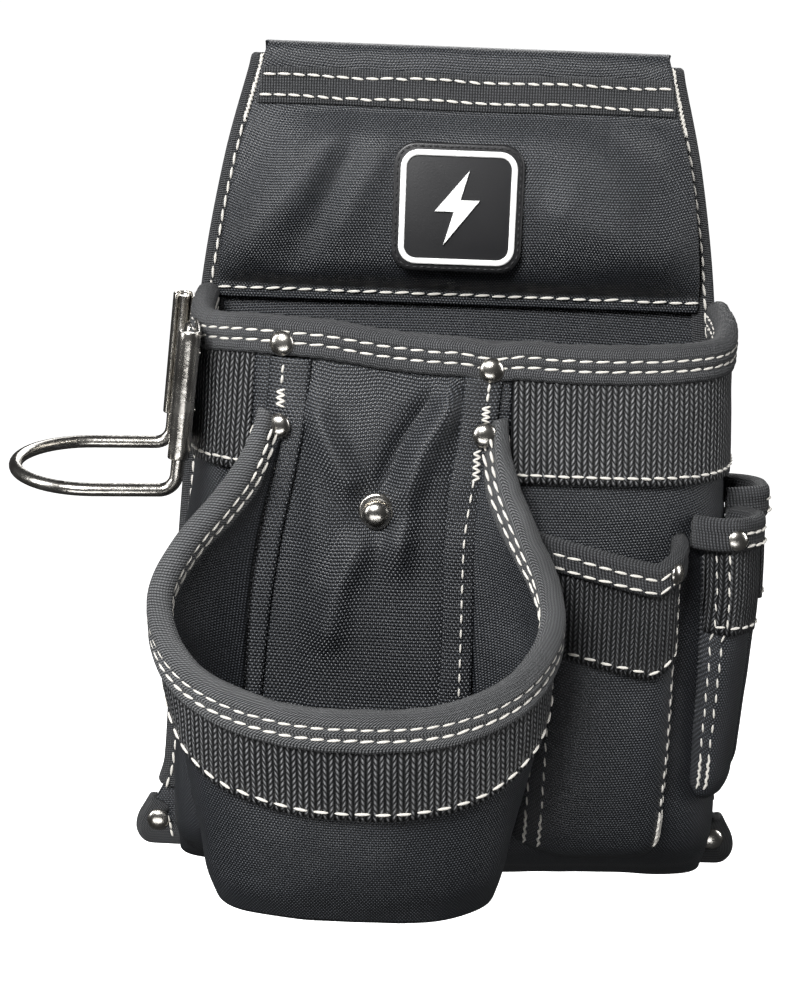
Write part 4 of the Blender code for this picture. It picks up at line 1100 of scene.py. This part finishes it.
NICKEL = Finish("nickel_plate", (0.72, 0.69, 0.64), 0.24, 1.0)
wear = NICKEL.mottle(140.0, 4.0)
NICKEL.set(Base_Color=NICKEL.blend(wear, (0.34, 0.32, 0.29), (0.66, 0.64, 0.60)),
           Roughness=NICKEL.math("MULTIPLY_ADD", wear, 0.22, 0.14))
NICKEL.relief(NICKEL.mottle(420.0, 3.0), 0.10)
NICKEL = NICKEL.material
HOLDER = Vector((-101.6, -4.0, 197.5))
HOLDER_TURN = Matrix.Rotation(math.radians(8.0), 3, "Z") @ Matrix.Rotation(math.radians(6.0), 3, "X")
LEG_APART, REACH, WIRE, CURL, PLATE_HALF = 56.0, 57.0, 2.4, 3.3, 23.0


def on_holder(x, y, z):
    return HOLDER + HOLDER_TURN @ Vector((x + 0.07 * max(0.0, z + 30.0), y, z))


half = LEG_APART / 2.0
plate_path = [(CURL * math.cos(a), half + CURL * math.sin(a))
              for a in (math.radians(225.0 * (1.0 - n / 14.0)) for n in range(15))]
plate_path += [(CURL + 0.25 * math.sin(n / 24.0 * math.pi), half - LEG_APART * n / 24.0) for n in range(1, 24)]
plate_path += [(x, -y) for x, y in reversed(plate_path[:15])]


def plate(u, v):
    x, y = plate_path[round(u * (len(plate_path) - 1))]
    dip = -7.0 * min(1.0, max(0.0, (20.0 - abs(y)) / 8.0)) ** 1.0
    smooth = dip * dip * (21.0 + 2.0 * dip) / -343.0 if dip else 0.0
    return on_holder(x, y, -PLATE_HALF + v * (2.0 * PLATE_HALF + smooth))


bm = bmesh.new()
add_cut(bm, len(plate_path) - 1, 16, plate)
hammer_plate = thicken(add_piece("holder_plate", bm, NICKEL, "nickel", "hammer_plate"), 1.2, smooth=0)
edge = hammer_plate.modifiers.new("edge", "BEVEL")
edge.width, edge.segments = 0.35 * MM, 2

bend = [(-6.0 + 6.0 * math.cos(a), -35.0 + 6.0 - 6.0 * math.sin(a)) for a in
        (math.radians(9.0 * n) for n in range(11))]
leg = [(0.0, -half, 22.0 - 2.0 * n) for n in range(26)] + [(x, -half, z) for x, z in bend]
run_out = [(-6.0 - (REACH - half - 6.0) * n / 10.0, -half, -35.0) for n in range(1, 10)]
nose = [(-(REACH - half) - half * math.sin(a), -half * math.cos(a), -35.0)
        for a in (math.radians(6.0 * n) for n in range(31))]
wire_path = [*leg, *run_out, *nose, *[(x, -y, z) for x, y, z in reversed([*leg, *run_out])]]
wire_path = [on_holder(*p) for p in wire_path]


def wire_frames(path):
    """At each point, two directions across the wire that turn as little as they can."""
    frames, side = [], Vector((0.0, 1.0, 0.0))
    for n, p in enumerate(path):
        run = (path[min(n + 1, len(path) - 1)] - path[max(n - 1, 0)]).normalized()
        side = (side - run * side.dot(run)).normalized()
        frames.append((p, side, run.cross(side)))
    return frames


wire_places = wire_frames(wire_path)
loop = swept("holder_loop", len(wire_places) - 1, 20, lambda u: wire_places[round(u * (len(wire_places) - 1))],
             lambda v: (WIRE * math.cos(2.0 * math.pi * v), WIRE * math.sin(2.0 * math.pi * v)), NICKEL,
             "nickel", "hammer_loop", smooth=0)
loop.data.set_sharp_from_angle(angle=math.radians(60))

# -------------------------------------------------------------------------------------------------
# Rivets: nickel-plated caps with a low dome and a rolled edge, on posts through the layers they join.


def add_rivet(name, seat, out, radius, rise=2.2, post=6.0):
    profile = [(0.0, rise), (radius * 0.28, rise * 0.97), (radius * 0.52, rise * 0.87),
               (radius * 0.74, rise * 0.68), (radius * 0.90, rise * 0.42), (radius, rise * 0.16),
               (radius, 0.12), (radius * 0.96, 0.0), (1.5, 0.0), (1.5, -post), (0.0, -post)]
    bm = bmesh.new()
    verts = [bm.verts.new((r, 0.0, h)) for r, h in profile]
    edges = [bm.edges.new(pair) for pair in zip(verts, verts[1:])]
    bmesh.ops.spin(bm, geom=[*verts, *edges], cent=(0, 0, 0), axis=(0, 0, 1), angle=2 * math.pi, steps=28,
                   use_merge=True)
    bmesh.ops.remove_doubles(bm, verts=bm.verts, dist=0.001)
    bmesh.ops.recalc_face_normals(bm, faces=bm.faces)
    matrix = out.to_track_quat("Z", "Y").to_matrix().to_4x4()
    matrix.translation = seat
    bmesh.ops.transform(bm, matrix=matrix, verts=bm.verts)
    piece = add_piece(f"{name}_cap", bm, NICKEL, "nickel", name)
    piece.data.set_sharp_from_angle(angle=math.radians(55))
    return piece


for side, x in (("left", -61.0), ("right", 10.6)):
    p, o, w = mouth_line((share_at(main_angle(x)) - 0.0015) / 0.997)
    add_rivet(f"rim_rivet_{side}", p + o * 5.35 + w * -1.6, o, 4.4)
for side, z in (("left", 185.6), ("right", 187.2)):
    spot, out = strip_point(SEAM_X[side](z) + 0.8, z, 7.4)
    add_rivet(f"pouch_corner_rivet_{side}", spot, out, 4.4)

x, z = CENTRE_RIVET
spot, out = strip_point(x, z, 4.4)
bm = bmesh.new()
ring = [(1.8, 0.0), (6.3, 0.0), (6.35, 0.35), (6.1, 0.75), (5.5, 1.0), (4.4, 0.85), (1.8, 0.8)]
verts = [bm.verts.new((r, 0.0, h)) for r, h in ring]
edges = [bm.edges.new(pair) for pair in zip(verts, [*verts[1:], verts[0]])]
bmesh.ops.spin(bm, geom=[*verts, *edges], cent=(0, 0, 0), axis=(0, 0, 1), angle=2 * math.pi, steps=36,
               use_merge=True)
bmesh.ops.recalc_face_normals(bm, faces=bm.faces)
matrix = out.to_track_quat("Z", "Y").to_matrix().to_4x4()
matrix.translation = spot + Vector((0.0, 0.0, 1.0))
bmesh.ops.transform(bm, matrix=matrix, verts=bm.verts)
add_piece("centre_rivet_ring", bm, NICKEL, "nickel", "centre_rivet_seat").data.set_sharp_from_angle(
    angle=math.radians(50))
add_rivet("centre_rivet", spot + out * 0.95 - Vector((0.0, 0.0, 0.7)),
          (out - Vector((0.0, 0.0, 0.2))).normalized(), 5.2, 2.8, 8.0)

for side, x in (("left", -110.4), ("right", 110.4)):
    add_rivet(f"base_corner_rivet_{side}", Vector((x, 36.75, 10.3)), Vector((0.0, -1.0, 0.0)), 4.4, 2.0, 9.0)
holder_out = HOLDER_TURN @ Vector((-1.0, 0.0, 0.0))
for place, (y, z) in {"upper_rear": (14.0, 12.0), "upper_front": (-14.0, 12.0), "lower_rear": (14.0, -9.0),
                      "lower_front": (-14.0, -9.0)}.items():
    add_rivet(f"hammer_rivet_{place}", on_holder(2.6, y, z), holder_out, 3.9, post=2.5)
for (point, out_at, top), node, s in ((front_tool, "front_tool_pocket_rivet", 0.86),
                                      (side_tool, "side_tool_pocket_rivet", 0.16)):
    z = top(s) - 5.5
    add_rivet(node, point(s, z, 5.0), out_at(s, z), 3.9, 2.0, 9.0)

FOAM = Finish("cord_filler", (0.03, 0.03, 0.032), 0.8)
FOAM.relief(FOAM.mottle(700.0), 0.2)
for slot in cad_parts["main_rim_core"].material_slots:
    slot.material = FOAM.material
CORD = contour([(1.3 + 1.9 * math.cos(0.6 * n), 3.5 + 1.9 * math.sin(0.6 * n)) for n in range(10)])
swept("lip_cord", 160, 12, lambda u: lip_line(0.03 + 0.94 * u), CORD, FOAM.material, "foam", "pouch_rim_core",
      smooth=0)
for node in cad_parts:
    if node.endswith("_washer"):
        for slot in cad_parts[node].material_slots:
            slot.material = NICKEL

# -------------------------------------------------------------------------------------------------
# The studio: a plain pale floor, a broad soft light overhead, one at each side, and a portrait lens.

bm = bmesh.new()
bmesh.ops.create_circle(bm, cap_ends=True, segments=48, radius=12.0)
rim = bmesh.ops.extrude_edge_only(bm, edges=bm.edges)["geom"]
bmesh.ops.translate(bm, vec=(0.0, 0.0, 9.0), verts=[g for g in rim if isinstance(g, bmesh.types.BMVert)])
bmesh.ops.translate(bm, vec=(0.0, 0.0, cad_box[0].z - 0.25), verts=bm.verts)
mesh = bpy.data.meshes.new("floor")
bm.to_mesh(mesh)
bm.free()
floor = bpy.data.objects.new("floor", mesh)
bpy.context.scene.collection.objects.link(floor)
PALE = Finish("pale_floor", (0.94, 0.94, 0.94), 0.9)
PALE.set(Emission_Color=(1.0, 1.0, 1.0, 1.0), Emission_Strength=1.0)
mesh.materials.append(PALE.material)
floor.visible_diffuse = floor.visible_glossy = floor.visible_shadow = False

world = bpy.context.scene.world or bpy.data.worlds.new("studio")
bpy.context.scene.world = world
world.use_nodes = True
world.node_tree.nodes["Background"].inputs[0].default_value = (1.0, 1.0, 1.0, 1.0)
world.node_tree.nodes["Background"].inputs[1].default_value = 0.04


def add_softbox(name, place, aim, size, power):
    light = bpy.data.lights.new(name, "AREA")
    light.shape, light.size, light.size_y, light.energy = "RECTANGLE", *size, power
    lamp = bpy.data.objects.new(name, light)
    bpy.context.scene.collection.objects.link(lamp)
    lamp.location = place
    lamp.rotation_euler = (Vector(aim) - Vector(place)).to_track_quat("-Z", "Y").to_euler()


MIDDLE = (cad_box[0] + cad_box[1]) / 2.0
add_softbox("overhead", MIDDLE + Vector((-0.38, -0.95, 0.78)), MIDDLE, (0.5, 0.4), 32.0)
add_softbox("left", MIDDLE + Vector((-1.1, -0.35, 0.45)), MIDDLE, (0.4, 0.8), 8.0)
add_softbox("right", MIDDLE + Vector((1.1, -0.15, 0.40)), MIDDLE, (0.4, 0.8), 7.0)
add_softbox("behind", MIDDLE + Vector((0.2, 1.1, 0.7)), MIDDLE, (0.9, 0.7), 9.0)
add_softbox("front", MIDDLE + Vector((-0.15, -0.75, -0.45)), MIDDLE, (0.7, 0.25), 2.6)

AIM = Vector((-18.76, 38.0, 143.91))
DISTANCE, TILT, YAW, ROLL_ANGLE = 820.0, math.radians(13.0), math.radians(0.29), math.radians(2.16)
look = Vector((math.sin(YAW) * math.cos(TILT), math.cos(YAW) * math.cos(TILT), -math.sin(TILT)))
level = look.cross(Vector((0.0, 0.0, 1.0))).normalized()
above = level.cross(look)
right = math.cos(ROLL_ANGLE) * level + math.sin(ROLL_ANGLE) * above
above = -math.sin(ROLL_ANGLE) * level + math.cos(ROLL_ANGLE) * above
lens = bpy.data.cameras.new("camera")
lens.lens, lens.sensor_width = 76.7, 36.0
camera = bpy.data.objects.new("camera", lens)
bpy.context.scene.collection.objects.link(camera)
stand = Matrix((right, above, -look)).transposed().to_4x4()
stand.translation = (AIM - look * DISTANCE - FOOT) * MM
camera.matrix_world = stand
bpy.context.scene.camera = camera
bpy.context.scene.view_settings.view_transform = "Standard"
